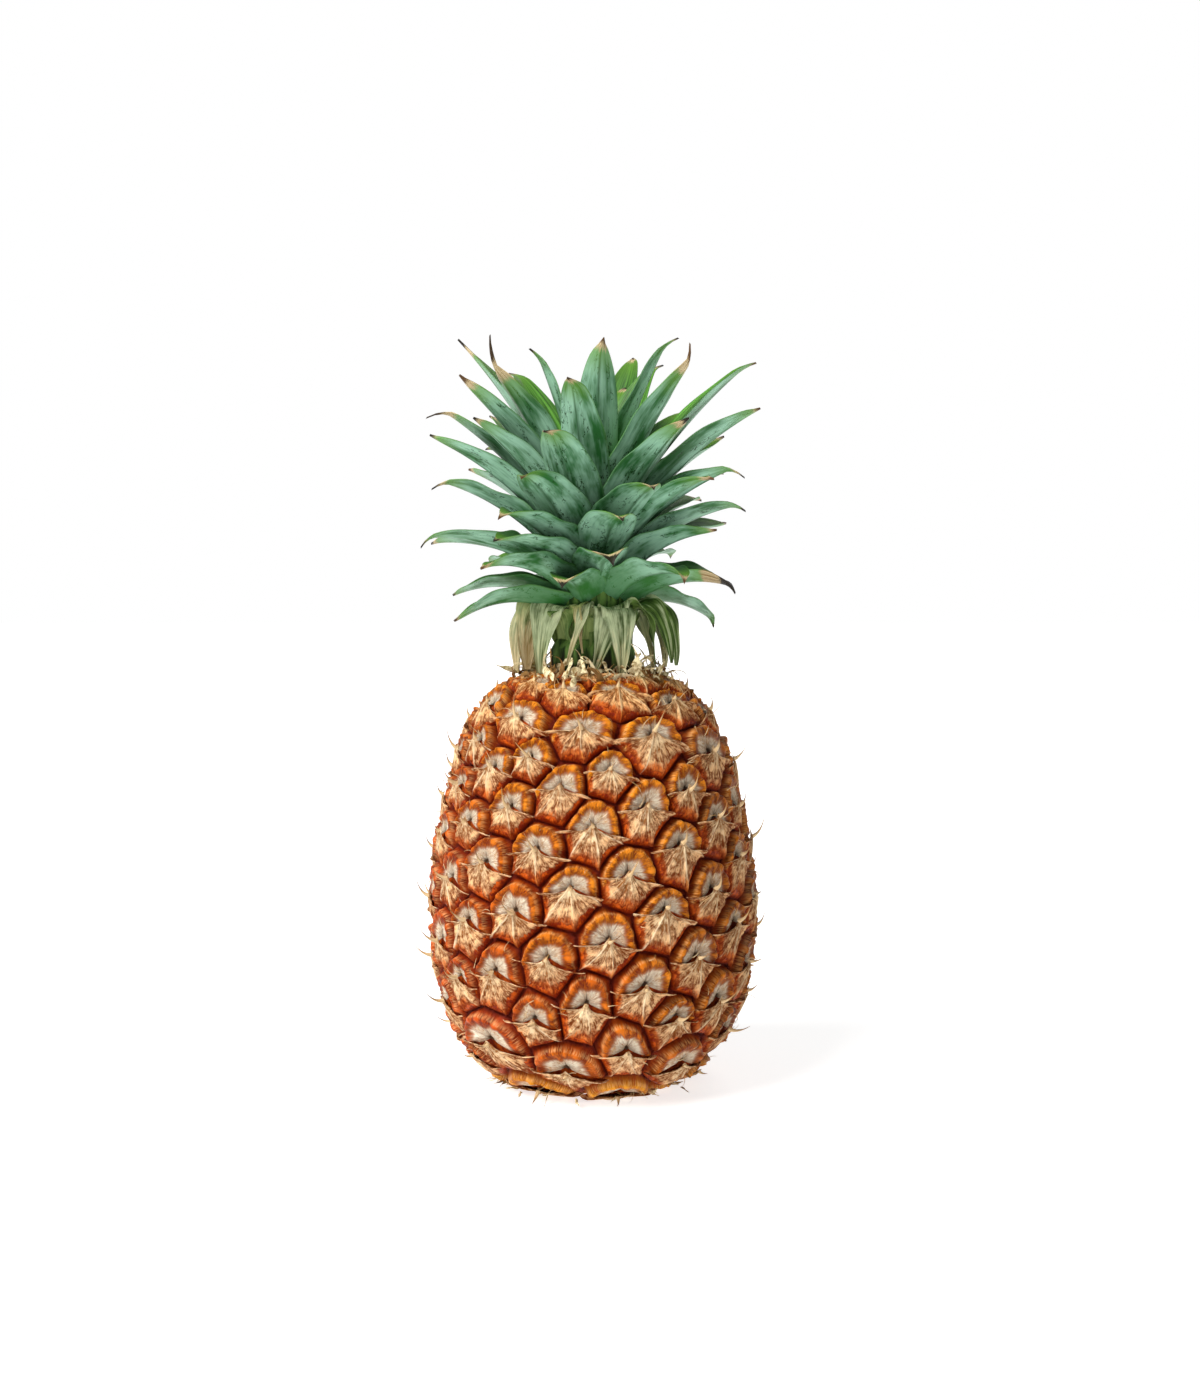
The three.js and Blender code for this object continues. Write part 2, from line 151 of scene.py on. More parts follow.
def piece_from(name, points, faces):
    """A new object from points in millimetres."""
    mesh = bpy.data.meshes.new(name)
    mesh.from_pydata((points * MM).tolist(), [], faces)
    piece = bpy.data.objects.new(name, mesh)
    bpy.context.scene.collection.objects.link(piece)
    choose(piece)
    return piece


def finish_mesh(piece, angle=60, merge=None, outward_normals=False):
    """Merges doubles, turns the faces outward where asked, and shades the piece smooth."""
    choose(piece)
    bpy.ops.object.mode_set(mode="EDIT")
    bpy.ops.mesh.select_all(action="SELECT")
    if merge:
        bpy.ops.mesh.remove_doubles(threshold=merge * MM)
    if outward_normals:
        bpy.ops.mesh.normals_make_consistent(inside=False)
    bpy.ops.object.mode_set(mode="OBJECT")
    bpy.ops.object.shade_smooth_by_angle(angle=math.radians(angle))


def thicken(piece, thickness):
    """Gives a sheet its thickness, on the side that its faces look away from."""
    solidify = piece.modifiers.new("thickness", "SOLIDIFY")
    solidify.thickness = thickness
    solidify.offset = -1
    bpy.ops.object.modifier_apply(modifier=solidify.name)


class Bundle:
    """Gathers many small shapes into one piece, with the vectors that their patterns read."""

    def __init__(self):
        self.points, self.faces, self.size, self.vectors = [], [], 0, {}

    def add(self, points, faces, **vectors):
        """Takes a shape, and under each name a vector for each of its points or one for all."""
        self.faces += [tuple(self.size + v for v in face) for face in faces]
        self.points.append(points)
        self.size += len(points)
        for name, values in vectors.items():
            self.vectors.setdefault(name, []).append(np.broadcast_to(values, points.shape))

    def piece(self, name):
        piece = piece_from(name, np.concatenate(self.points), self.faces)
        for key, values in self.vectors.items():
            layer = piece.data.attributes.new(key, "FLOAT_VECTOR", "POINT")
            layer.data.foreach_set("vector", np.concatenate(values).astype(np.float32).ravel())
        return piece


def dress(piece, material):
    piece.data.materials.clear()
    piece.data.materials.append(material)


def keep(piece, material, replaces=None):
    """Gives a finished piece its material and its place on the object."""
    dress(piece, material)
    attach(piece, "root")
    if replaces:
        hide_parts(replaces)


# ---- Shader graphs ----

class Wire:
    """An output socket that takes part in sums."""

    def __init__(self, graph, socket):
        self.graph = graph
        self.socket = socket

    def math(self, operation, *others):
        return self.graph.math(operation, self, *others)

    def __add__(self, other):
        return self.math("ADD", other)

    __radd__ = __add__

    def __mul__(self, other):
        return self.math("MULTIPLY", other)

    __rmul__ = __mul__

    def __sub__(self, other):
        return self.math("SUBTRACT", other)

    def __rsub__(self, other):
        return self.graph.math("SUBTRACT", other, self)

    def __truediv__(self, other):
        return self.math("DIVIDE", other)

    def __abs__(self):
        return self.math("ABSOLUTE")


class Graph:
    """A material and its nodes."""

    def __init__(self, name, roughness, specular):
        self.material = bpy.data.materials.new(name)
        self.material.use_nodes = True
        self.tree = self.material.node_tree
        self.shader = self.tree.nodes["Principled BSDF"]
        self.shader.inputs["Roughness"].default_value = roughness
        self.shader.inputs["Specular IOR Level"].default_value = specular

    def node(self, kind, settings=None, inputs=None, output=0):
        """A new node's output: its settings are made first, and then its sockets are fed."""
        made = self.tree.nodes.new(kind)
        for key, value in (settings or {}).items():
            setattr(made, key, value)
        for key, value in (inputs or {}).items():
            self.feed(made.inputs[key], value)
        return Wire(self, made.outputs[output])

    def feed(self, socket, value):
        if isinstance(value, Wire):
            self.tree.links.new(value.socket, socket)
        elif socket.type == "RGBA":
            socket.default_value = (*value, 1)
        else:
            socket.default_value = value

    def math(self, operation, *values):
        return self.node("ShaderNodeMath", {"operation": operation}, dict(enumerate(values)))

    def attribute(self, name):
        """The x, y and z wires of a vector that the mesh carries."""
        vector = self.node("ShaderNodeAttribute", {"attribute_name": name}, None, "Vector")
        return self.split(vector)

    def split(self, vector):
        split = self.node("ShaderNodeSeparateXYZ", None, {0: vector}).socket.node
        return [Wire(self, socket) for socket in split.outputs]

    def vector(self, x, y, z):
        return self.node("ShaderNodeCombineXYZ", None, {"X": x, "Y": y, "Z": z})

    def object_place(self):
        return self.node("ShaderNodeTexCoord", None, None, "Object")

    def noise(self, vector, scale, detail=3.0, roughness=0.55):
        inputs = {"Vector": vector, "Scale": scale, "Detail": detail, "Roughness": roughness}
        return self.node("ShaderNodeTexNoise", None, inputs)

    def step(self, value, low, high):
        """0 below low, 1 above high, with a smooth rise between."""
        inputs = {"Value": value, "From Min": low, "From Max": high}
        return self.node("ShaderNodeMapRange", {"interpolation_type": "SMOOTHSTEP"}, inputs)

    def band(self, value, low, rise, fall, high):
        """1 from rise to fall, and 0 below low and above high."""
        return self.step(value, low, rise) * (1 - self.step(value, fall, high))

    def mix(self, share, a, b, blend="MIX"):
        settings = {"data_type": "RGBA", "blend_type": blend, "clamp_factor": True}
        return self.node("ShaderNodeMix", settings, {0: share, 6: a, 7: b}, 2)

    def finish(self, color, roughness=None, height=None, distance=0.0):
        """Feeds the shader. distance is the bump's depth in millimetres."""
        self.feed(self.shader.inputs["Base Color"], color)
        if roughness is not None:
            self.feed(self.shader.inputs["Roughness"], roughness)
        if height is not None:
            inputs = {"Height": height, "Distance": distance * MM}
            self.feed(self.shader.inputs["Normal"], self.node("ShaderNodeBump", None, inputs))
        return self.material


# ---- The fruit's surface ----

def catmull_rom(points, steps):
    """Points along the curve through the given ones."""
    points = np.array(points, float)
    last = len(points) - 1
    place = np.linspace(0, last, steps + 1)
    i = np.minimum(place.astype(int), last - 1)
    w = (place - i)[:, None]
    before, here = points[np.maximum(i - 1, 0)], points[i]
    after, later = points[i + 1], points[np.minimum(i + 2, last)]
    v0, v1 = (after - before) / 2, (later - here) / 2
    cubic = 2 * here - 2 * after + v0 + v1
    square = -3 * here + 3 * after - 2 * v0 - v1
    return cubic * w**3 + square * w**2 + v0 * w + here


class Outline:
    """Samples of the fruit's half outline: radius, height, arc length from the base, number of
    eyes below, and the stretch that maps the fruit onto a ball with no change of angles."""

    def __init__(self):
        curve = catmull_rom(FRUIT_OUTLINE, OUTLINE_STEPS)
        self.r = np.maximum(curve[:, 0], AXIS_RADIUS)
        self.z = curve[:, 1]
        step = np.hypot(np.diff(self.r), np.diff(self.z))
        between = (self.r[1:] + self.r[:-1]) / 2
        self.arc = np.concatenate([[0], np.cumsum(step)])
        self.length = self.arc[-1]
        t = (self.arc[1:] + self.arc[:-1]) / 2 / self.length - 0.5
        area = EYE_AREA * (1 + EYE_AREA_SLOPE * t + EYE_AREA_CURVE * t * t)
        self.count = np.concatenate([[0], np.cumsum(2 * math.pi * between * step / area)])
        self.stretch = np.concatenate([[0], np.cumsum(step / between)])
        self.middle = self.stretch[OUTLINE_STEPS // 2]
        self.edge = self.arc[1]
        slope = unit(np.stack([np.gradient(self.r), np.gradient(self.z)], -1))
        self.along_r, self.along_z = slope[:, 0], slope[:, 1]


OUTLINE = Outline()


def ball_points(azimuth, stretch):
    """Points of the ball for azimuths in radians and stretches."""
    latitude = 2 * np.arctan(np.exp(stretch - OUTLINE.middle)) - math.pi / 2
    return outward(azimuth) * np.cos(latitude)[..., None] + UP * np.sin(latitude)[..., None]


wave_vectors = unit(rng.normal(size=(WARP_WAVES, 3))) * rng.uniform(12, 26, (WARP_WAVES, 1))
wave_phases = rng.uniform(0, 2 * math.pi, (WARP_WAVES, 3))


def warped(ball):
    """Moves points of the ball a little, so that no groove runs quite straight."""
    swing = np.sin((ball @ wave_vectors.T)[..., None] + wave_phases)
    return unit(ball + WARP * swing.mean(-2))


class Place:
    """Places on the fruit for points of the ball: position over the eyes, normal, and the
    directions to the crown and round to the right."""

    def __init__(self, ball):
        ball = warped(unit(ball))
        azimuth = np.arctan2(ball[..., 0], -ball[..., 1])
        latitude = np.arcsin(np.clip(ball[..., 2], -1, 1))
        stretch = OUTLINE.middle + np.log(np.tan(latitude / 2 + math.pi / 4))
        r, z, along_r, along_z, self.arc = (
            np.interp(stretch, OUTLINE.stretch, values)[..., None]
            for values in (OUTLINE.r, OUTLINE.z, OUTLINE.along_r, OUTLINE.along_z, OUTLINE.arc)
        )
        out = outward(azimuth)
        self.share = self.arc[..., 0] / OUTLINE.length
        self.point = out * r + UP * z
        self.crownward = unit(out * along_r + UP * along_z)
        self.normal = unit(out * along_z - UP * along_r)
        self.right = np.cross(self.crownward, self.normal)

    def raised(self, height):
        """Points at heights over the bottom of the grooves."""
        return self.point + self.normal * (np.asarray(height)[..., None] - GROOVE_DEPTH)


def eye_centres():
    """The eyes' middles on the ball, in the order of the spiral."""
    k = np.arange(math.ceil(-EYE_FIRST_COUNT), int(OUTLINE.count[-1] - EYE_FIRST_COUNT) + 1)
    azimuth = np.radians(EYE_FIRST_AZIMUTH + GOLDEN_ANGLE * k)
    upright = np.interp(k + EYE_FIRST_COUNT, OUTLINE.count, OUTLINE.arc)
    lean = lerp(EYE_LEAN, EYE_LEAN_NECK, smooth(upright / OUTLINE.length, *LEAN_TURNS))
    leaned = upright - lean * np.sin(azimuth)
    leaned = np.clip(leaned, OUTLINE.edge, OUTLINE.length - OUTLINE.edge)
    return ball_points(azimuth, np.interp(leaned, OUTLINE.arc, OUTLINE.stretch))


def neighbours_in_order(centres):
    """Each eye's neighbours, counter-clockwise seen from outside: the eyes next to it on the
    hull that wraps the ball's points."""
    ball = piece_from("ball", centres / MM, [])
    bpy.ops.object.mode_set(mode="EDIT")
    bpy.ops.mesh.select_all(action="SELECT")
    bpy.ops.mesh.convex_hull(join_triangles=False)
    bpy.ops.object.mode_set(mode="OBJECT")
    corners = np.array([vertex.co for vertex in ball.data.vertices])
    index = [int(np.argmax(centres @ unit(corner))) for corner in corners]
    after = [{} for _ in centres]
    for face in ball.data.polygons:
        a, b, c = (index[v] for v in face.vertices)
        if np.dot(np.cross(centres[b] - centres[a], centres[c] - centres[a]), centres[a]) < 0:
            b, c = c, b
        after[a][b], after[b][c], after[c][a] = c, a, b
    bpy.data.objects.remove(ball)
    orders = []
    for following in after:
        order = [next(iter(following))]
        while len(order) < len(following):
            order.append(following[order[-1]])
        orders.append(order)
    return orders


def nearer_crown(ball, rise):
    """The ball point that lies rise millimetres nearer the crown."""
    azimuth = np.arctan2(ball[0], -ball[1])
    arc = min(Place(ball).arc.item() + rise, OUTLINE.length - OUTLINE.edge)
    return ball_points(azimuth, np.interp(arc, OUTLINE.arc, OUTLINE.stretch))


# A round cap reaches this share of the way to a smooth groove, and never draws in from the real
# groove to less than the second share.
CAP_SIZE = 0.935
CAP_LEAST = 0.73


class Eye:
    """One fruitlet: its pit on the ball, the groove round it and its own chances."""

    def __init__(self, centre, neighbours):
        corners = unit(centre + neighbours + np.roll(neighbours, -1, 0))
        share = (np.arange(GROOVE_STEPS) / GROOVE_STEPS)[None, :, None]
        sides = lerp(corners[:, None], np.roll(corners, -1, 0)[:, None], share)
        self.groove = unit(sides.reshape(-1, 3))
        middle = unit(self.groove.mean(0))
        self.showing = self.clear(Place(middle).point)
        self.pit = nearer_crown(middle, PIT_RISE) if self.showing else middle
        self.place = Place(self.pit)
        offset = Place(self.groove).point - self.place.point
        x, y = dot(offset, self.place.right), dot(offset, self.place.crownward)
        self.turn = np.arctan2(x, y)
        self.distance = np.hypot(x, y)
        self.size = self.distance.mean()
        self.share = self.place.share.item()
        self.chance = rng.random(6)
        self.lot = (self.chance[1], self.chance[2], self.share)

    @staticmethod
    def clear(point):
        """Whether an eye lies clear of the stalk and the neck."""
        r = math.hypot(*point[:2])
        in_foot = point[2] < FOOT_BELOW and r < FOOT_INNER + FOOT_CLEARANCE
        in_neck = point[2] > NECK_ABOVE and r < NECK_RADIUS + NECK_CLEARANCE
        return not (in_foot or in_neck)

    def edge_at(self, turn):
        """The groove's ball points at angles clockwise from the crownward line."""
        order = np.argsort(self.turn)
        angles = self.turn[order]
        ring = self.groove[order]
        return np.stack(
            [np.interp(turn, angles, ring[:, n], period=2 * math.pi) for n in range(3)], -1
        )

    def rounding(self):
        """For each groove point, the share of the way to it at which a round cap ends."""
        rows = [np.ones_like(self.turn)]
        rows += [wave(n * self.turn) for n in (1, 2) for wave in (np.sin, np.cos)]
        basis = np.stack(rows, 1)
        ring = basis @ np.linalg.lstsq(basis, self.distance, rcond=None)[0]
        return np.clip(CAP_SIZE * ring / self.distance, CAP_LEAST, 1.0)


@functools.cache
def fruit_eyes():
    """All the eyes, in the order of the spiral."""
    reseed(1)
    centres = eye_centres()
    orders = neighbours_in_order(centres)
    return [Eye(centre, centres[order]) for centre, order in zip(centres, orders)]


def showing_eyes():
    return [eye for eye in fruit_eyes() if eye.showing]


def halves():
    """The eyes of the lower and of the upper half of the fruit."""
    eyes = sorted(fruit_eyes(), key=lambda eye: eye.share)
    middle = len(eyes) // 2
    return {"lower": eyes[:middle], "upper": eyes[middle:]}


def settled(points):
    """Flattens what would go under the floor, and opens the hollows at the stalk and the neck."""
    r = np.hypot(points[:, 0], points[:, 1])
    z = np.maximum(points[:, 2], 0)
    foot = (z < FOOT_BELOW) * (1 - smooth(r, FOOT_INNER, FOOT_INNER + HOLLOW_EDGE))
    neck = (z > NECK_ABOVE) * (1 - smooth(r, NECK_RADIUS - 0.5, NECK_RADIUS + HOLLOW_EDGE))
    z = lerp(z, np.maximum(z, STALK_TOP + STALK_GAP), foot)
    z = lerp(z, np.minimum(z, NECK_FLOOR), neck)
    return np.column_stack([points[:, :2], z])


def raised_to(points, floor):
    """The points with none lower than the floor, which is one height or one for each."""
    return np.column_stack([points[:, :2], np.maximum(points[:, 2], floor)])


# ---- Rind ----
# The rings of an eye, from the groove in: share of the way out from the pit, and height over the
# groove at the cap's side and at the bract's.
EYE_RINGS = [
    (1.0, 0.0, 0.0), (0.972, 0.25, 0.3), (0.945, 1.1, 0.9), (0.915, 2.3, 1.5), (0.88, 3.35, 1.9),
    (0.835, 3.95, 2.2), (0.78, 4.15, 2.3), (0.72, 3.95, 2.4), (0.65, 3.5, 2.5), (0.57, 3.05, 2.5),
    (0.46, 2.8, 2.4), (0.32, 2.6, 2.2), (0.17, 2.3, 2.0), (0.07, 1.7, 1.6),
]
EYE_MIDDLE_HEIGHT = 0.9
# The cap lies crownward of these cosines of the angle off the crownward line.
CAP_TURNS = (-0.48, -0.2)
# The shares of the way out between which the wool ends, the round cap ends and the rim ends.
WOOL_ENDS = (0.5, 0.72)
ROUND_ENDS = (0.92, 1.0)
RIM_ENDS = (0.95, 1.0)
# The rim's lobes and fine flutes, the tongue down the cap's middle, the slit in the wool and the
# wool's creases: heights in millimetres, the rest in shares or radians.
LOBE_REACH, LOBE_HEIGHT, FLUTE_HEIGHT = 0.028, 0.55, 0.18
TONGUE_HEIGHT, TONGUE_WIDTH = 0.9, 0.3
SLIT_DEPTH, SLIT_WIDTH = 0.5, 0.05
CREASE_HEIGHT = 0.14


def waves(turn, counts, sizes):
    """Soft random lobes round a ring."""
    phases = rng.uniform(0, 2 * math.pi, len(counts))
    return sum(a * np.sin(n * turn + p) for n, a, p in zip(counts, sizes, phases))


def eye_patch(eye):
    """The skin of one eye in rings from the groove to the pit, with its pattern vectors."""
    count = len(eye.groove)
    lobe = waves(eye.turn, (5, 8, 13), (0.35, 0.4, 0.4))
    flute = waves(eye.turn, (19, 27), (0.5, 0.5))
    crease = rng.uniform(-1, 1, count)
    upper = smooth(np.cos(eye.turn), *CAP_TURNS)
    rounding = eye.rounding()
    tall = 0.9 + 0.25 * eye.chance[0]
    tongue = np.exp(-(((eye.turn + 0.4 * (eye.chance[3] - 0.5)) / TONGUE_WIDTH) ** 2))
    points, pattern, relief = [], [], []
    for share, cap, base in EYE_RINGS:
        angular = lerp(smooth(share, *ROUND_ENDS), 1, 1 - upper)
        reach = share * lerp(rounding, 1, angular)
        rim = smooth(share, *WOOL_ENDS) * (1 - smooth(share, *RIM_ENDS)) * upper
        reach = reach * (1 + LOBE_REACH * lobe * rim)
        place = Place(lerp(eye.pit, eye.groove, reach[:, None]))
        x, y = reach * np.sin(eye.turn), reach * np.cos(eye.turn)
        woolly = 1 - smooth(share, *WOOL_ENDS)
        along_tongue = smooth(share, 0.25, 0.5) * (1 - smooth(share, 0.55, 0.8))
        height = lerp(base, cap, upper) * tall
        height = height + (LOBE_HEIGHT * lobe + FLUTE_HEIGHT * flute) * rim
        height = height + TONGUE_HEIGHT * tongue * along_tongue
        height = height - SLIT_DEPTH * woolly * upper * np.exp(-((x / SLIT_WIDTH) ** 2))
        height = height + woolly * CREASE_HEIGHT * crease
        points.append(place.raised(height))
        pattern.append(np.column_stack([x, y, np.full(count, share)]))
        relief.append(np.column_stack([lobe * rim, upper, tongue]))
    points.append(eye.place.raised(EYE_MIDDLE_HEIGHT)[None])
    pattern.append(np.zeros((1, 3)))
    relief.append(np.array([[0, 1, 0]]))
    return np.concatenate(points), np.concatenate(pattern), np.concatenate(relief)


def ring_faces(count, rings):
    """Quads between rings of points and a fan to the single point after the last ring."""
    faces = []
    for n in range(count):
        after = (n + 1) % count
        for a in range(0, (rings - 1) * count, count):
            faces.append((a + n, a + after, a + count + after, a + count + n))
        last = (rings - 1) * count
        faces.append((last + n, last + after, rings * count))
    return faces


def rind_mesh(name, eyes):
    """The skin of some of the eyes as one piece, joined along their grooves."""
    bundle = Bundle()
    for eye in eyes:
        points, pattern, relief = eye_patch(eye)
        faces = ring_faces(len(eye.groove), len(EYE_RINGS))
        bundle.add(settled(points), faces, eye=pattern, relief=relief, lot=eye.lot)
    piece = bundle.piece(name)
    finish_mesh(piece, angle=80, merge=0.002)
    return piece


def ripeness(g, up):
    """How red rather than golden the fruit is: redder low on the left, golden at the crown end."""
    side, _, _ = g.split(g.object_place())
    broad = g.noise(g.object_place(), 30, 2.0)
    return g.step(1.05 - up * 0.9 - side * 6 + (broad - 0.5) * 0.8, 0.25, 1.15)


def paint_shade_right(g, color, side, streak, tint):
    """Paints shade on the fruit's right side, away from the key light, by darkening its colour."""
    painted_shade = g.step(side + (streak - 0.5) * 0.01, 0.012, 0.055)
    return g.mix(painted_shade * 0.8, color, tint, "MULTIPLY")


def rim_color(g, settings, line, side):
    """Golden, red or brown by place on the fruit, yellow at the foot, in dark and lit lines; the
    brown on the right side is partly the rind's own colour and partly painted shade.
    """
    _, chance, up = g.attribute("lot")
    golden = g.mix(line, rgb(130, 50, 0), settings.golden)
    red = g.mix(line, rgb(104, 24, 0), settings.red)
    brown = g.mix(line, rgb(74, 28, 0), rgb(176, 94, 22))
    yellow = g.mix(line, rgb(212, 108, 6), rgb(252, 180, 36))
    rim = g.mix(ripeness(g, up), golden, red)
    # Browner on the right: partly the rind's own brown, partly painted shade away from the key
    # light.
    rim = g.mix(g.step(side * 12 + (chance - 0.5) * 0.5, 0.25, 0.9) * 0.7, rim, brown)
    return g.mix((1 - g.step(up, 0.13, 0.24)) * 0.75, rim, yellow)


def rind_material(settings):
    g = Graph("rind", roughness=0.45, specular=0.14)
    x, y, share = g.attribute("eye")
    lobe, upper, tongue = g.attribute("relief")
    chance, _, _ = g.attribute("lot")
    place = g.object_place()
    side, _, _ = g.split(place)
    radius = (x * x + y * y).math("SQRT") + 0.001
    ray = g.vector(x / radius * 3.2 + chance * 40, y / radius * 3.2, radius * 0.9)
    streak = g.noise(ray, 2.6, 3.0)
    fine = g.noise(ray, 11.0, 4.0)
    mottle = g.noise(place, 300, 4.0, 0.65)

    # The rim, in lines that run out from the pit, with a painted highlight along its crest.
    outer = g.step(share, 0.64, 0.8) * 0.04
    line = g.step(streak * 0.35 + fine * 0.55 + mottle * 0.1 + lobe * 0.12 + outer, 0.4, 0.62)
    crest = g.band(share, 0.82, 0.88, 0.91, 0.95) * g.step(fine, 0.4, 0.6)
    rim = g.mix(crest * 0.4, rim_color(g, settings, line, side), rgb(252, 204, 140))

    # The woolly middle: fibres, stains, the slit towards the crown and the pit.
    wool_edge = radius + (streak - 0.5) * 0.22 + (fine - 0.5) * 0.16 + (chance - 0.5) * 0.08
    wool_edge = wool_edge + tongue * 0.14 * g.step(y, 0.2, 0.4)
    wool = 1 - g.step(wool_edge, 0.46, 0.63)
    fibre = g.step(fine * 0.65 + mottle * 0.35, 0.40, 0.56)
    cream = g.mix(fibre, rgb(208, 158, 112), settings.wool)
    stain = g.step(g.noise(ray, 1.6, 2.0) + (mottle - 0.5) * 0.5, 0.54, 0.7)
    cream = g.mix(stain * 0.5, cream, rgb(160, 98, 52))
    slit = (1 - g.step(abs(x), 0.0, 0.035)) * g.step(y, 0.0, 0.1) * (1 - g.step(y, 0.25, 0.4))
    cream = g.mix(slit * 0.6, cream, rgb(120, 66, 30))
    pit = 1 - g.step(radius + (streak - 0.5) * 0.08, 0.05, 0.14)
    cream = g.mix(pit * 0.85, cream, rgb(96, 54, 20))
    cap = g.mix(wool, rim, cream)
    # Painted shade in a ring where the rim steps down to the wool.
    cap = g.mix(g.band(wool_edge, 0.44, 0.55, 0.58, 0.72) * 0.5, cap, rgb(146, 66, 18))

    # The flesh under the bract, then the wall and the groove: their own darker red, deepened with
    # painted shade.
    flesh = g.mix(g.step(mottle + (fine - 0.5) * 0.4, 0.4, 0.62), rgb(130, 34, 0), rgb(210, 90, 14))
    cap = g.mix(1 - g.step(upper, 0.0, 0.35), cap, flesh)
    wall = g.step(share, 0.885, 0.945)
    color = g.mix(wall * 0.7, cap, rgb(138, 36, 0))
    color = g.mix(g.step(share + (mottle - 0.5) * 0.03, 0.935, 0.98), color, settings.groove)
    # Painted shade on the right side, away from the key light.
    color = paint_shade_right(g, color, side, streak, (0.62, 0.56, 0.5))
    roughness = 0.38 + wool * 0.45 + wall * 0.2
    height = line * 0.5 + fine * 0.4 + mottle * 0.3 * (wool * 0.8 + 0.3)
    return g.finish(color, roughness, height, distance=0.45)


# ---- Bracts ----
BRACT_COLUMNS = 57
BRACT_ROWS = 9
BRACT_THICKNESS = 0.2
# The angle from the crownward line to a bract's upper edge, the angle that the bract spreads
# over, and how far the whole is turned clockwise.
BRACT_OPENING = math.radians(103)
BRACT_SPREAD = 2 * math.pi - 2 * BRACT_OPENING
BRACT_TILT = 0.1
# The bract's height over the groove, out from the beak: down its middle and along its wings.
BRACT_SHARES = [0.0, 0.1, 0.25, 0.5, 0.75, 0.9, 1.0]
BRACT_MIDDLE = [4.6, 4.7, 4.1, 3.7, 3.3, 2.7, 1.5]
BRACT_WINGS = [4.6, 4.3, 3.8, 4.2, 4.7, 4.3, 3.2]
# How far in from the upper edge, in radians, its wing, its free lip and its lift reach.
WING_WIDTH, LIP_WIDTH, LIFT_WIDTH = 0.09, 0.06, 0.22
LIP_RISE = 0.3
# How far out the lower edge, its points and the wings reach, as shares of the way to the groove.
LOWER_REACH, POINT_REACH, WING_REACH = 0.84, 0.19, 1.06
RAGGED = 0.02
# The beak overhangs the pit, and the upper edge sags between it and the wings.
BEAK_RISE, BEAK_LENGTH = 1.0, 0.22
SAG, SAG_AT = -0.13, 0.24
RIDGE_WIDTH = 0.42
RIDGE_HEIGHT = 0.85
POINT_WIDTH = 0.16


class Fold:
    """A ridge that runs out from the beak towards one place on the groove."""

    def __init__(self, turn, strength, bend):
        self.turn, self.strength, self.bend = turn, strength, bend

    def crest(self, turn, share, size):
        away = np.abs(turn - self.turn - self.bend * share * (1 - share)) * size * share
        return self.strength * np.exp(-((away / RIDGE_WIDTH) ** 2))

    def point(self, turn):
        return self.strength * np.exp(-np.abs(turn - self.turn) / POINT_WIDTH)


def folds_of(eye):
    """Strong folds to the corners of the eye and some weak ones between."""
    corners = eye.turn[::GROOVE_STEPS] % (2 * math.pi)
    inside = corners[np.abs(corners - math.pi) < math.pi - BRACT_OPENING - 0.25]
    folds = [Fold(turn, rng.uniform(0.45, 1.0), rng.uniform(-0.6, 0.6)) for turn in inside]
    for turn in rng.uniform(math.pi - 1.1, math.pi + 1.1, 6):
        folds.append(Fold(turn, rng.uniform(0.15, 0.5), rng.uniform(-1.2, 1.2)))
    return folds


def bract_patch(eye):
    """A sheet from one upper edge round to the other and out from the beak, with its vectors."""
    across = np.linspace(0, 1, BRACT_COLUMNS)
    out = np.linspace(0.0, 1.0, BRACT_ROWS) ** 0.9
    turn = BRACT_OPENING + across * BRACT_SPREAD
    turn = turn + BRACT_TILT + 0.16 * (eye.chance[4] - 0.5)
    a, s = np.meshgrid(across, out, indexing="ij")
    folds = folds_of(eye)
    ridge = np.max([fold.crest(turn[:, None], s, eye.size) for fold in folds], 0)
    ridge = ridge * smooth(s, 0.05, 0.2)
    point = np.max([fold.point(turn) for fold in folds], 0)[:, None]
    from_edge = np.minimum(a, 1 - a) * BRACT_SPREAD
    wing = np.exp(-((from_edge / WING_WIDTH) ** 2))
    lip = np.exp(-from_edge / LIP_WIDTH) * smooth(s, 0.05, 0.3)

    ragged = rng.uniform(-RAGGED, RAGGED, (BRACT_COLUMNS, 1))
    lower = LOWER_REACH + POINT_REACH * point + ragged
    reach = lerp(lower, WING_REACH + 0.16 * eye.chance[5], wing)
    edge = eye.edge_at(turn)[:, None]
    place = Place(lerp(eye.pit, lerp(eye.pit, edge, reach[..., None]), s[..., None]))

    middle = np.interp(s, BRACT_SHARES, BRACT_MIDDLE)
    wings = np.interp(s, BRACT_SHARES, BRACT_WINGS)
    height = lerp(middle, wings, np.exp(-from_edge / LIFT_WIDTH))
    pleats = waves(turn, (17, 23, 31), (0.14, 0.14, 0.12))[:, None]
    ripple = (pleats + rng.uniform(-0.08, 0.08, (BRACT_COLUMNS, 1))) * smooth(s, 0.1, 0.5)
    height = height * (0.92 + 0.16 * eye.chance[0])
    height = height + RIDGE_HEIGHT * ridge * (1.15 - 0.6 * s) * (1 - wing) + ripple
    height = height + LIP_RISE * lip * (1 - smooth(s, 0.7, 1))
    hood = BEAK_RISE * np.maximum(0, 1 - s / BEAK_LENGTH) ** 1.5
    sag = SAG * eye.size * (s / SAG_AT) * np.exp(1 - s / SAG_AT) * np.exp(-from_edge / 0.35)
    points = place.raised(height) + eye.place.crownward * (hood + sag)[..., None]

    bottom = smooth(s, 0.4, 0.9) * np.exp(-((turn[:, None] - math.pi) / 0.5) ** 2)
    flank = smooth(s, 0.6, 0.95) * smooth(a, 0.45, 0.8) * (1 - wing)
    pattern = np.stack([a, s, np.maximum(ridge, 0.55 * lip)], -1)
    flesh = np.stack([bottom, flank, wing], -1)
    return points.reshape(-1, 3), pattern.reshape(-1, 3), flesh.reshape(-1, 3)


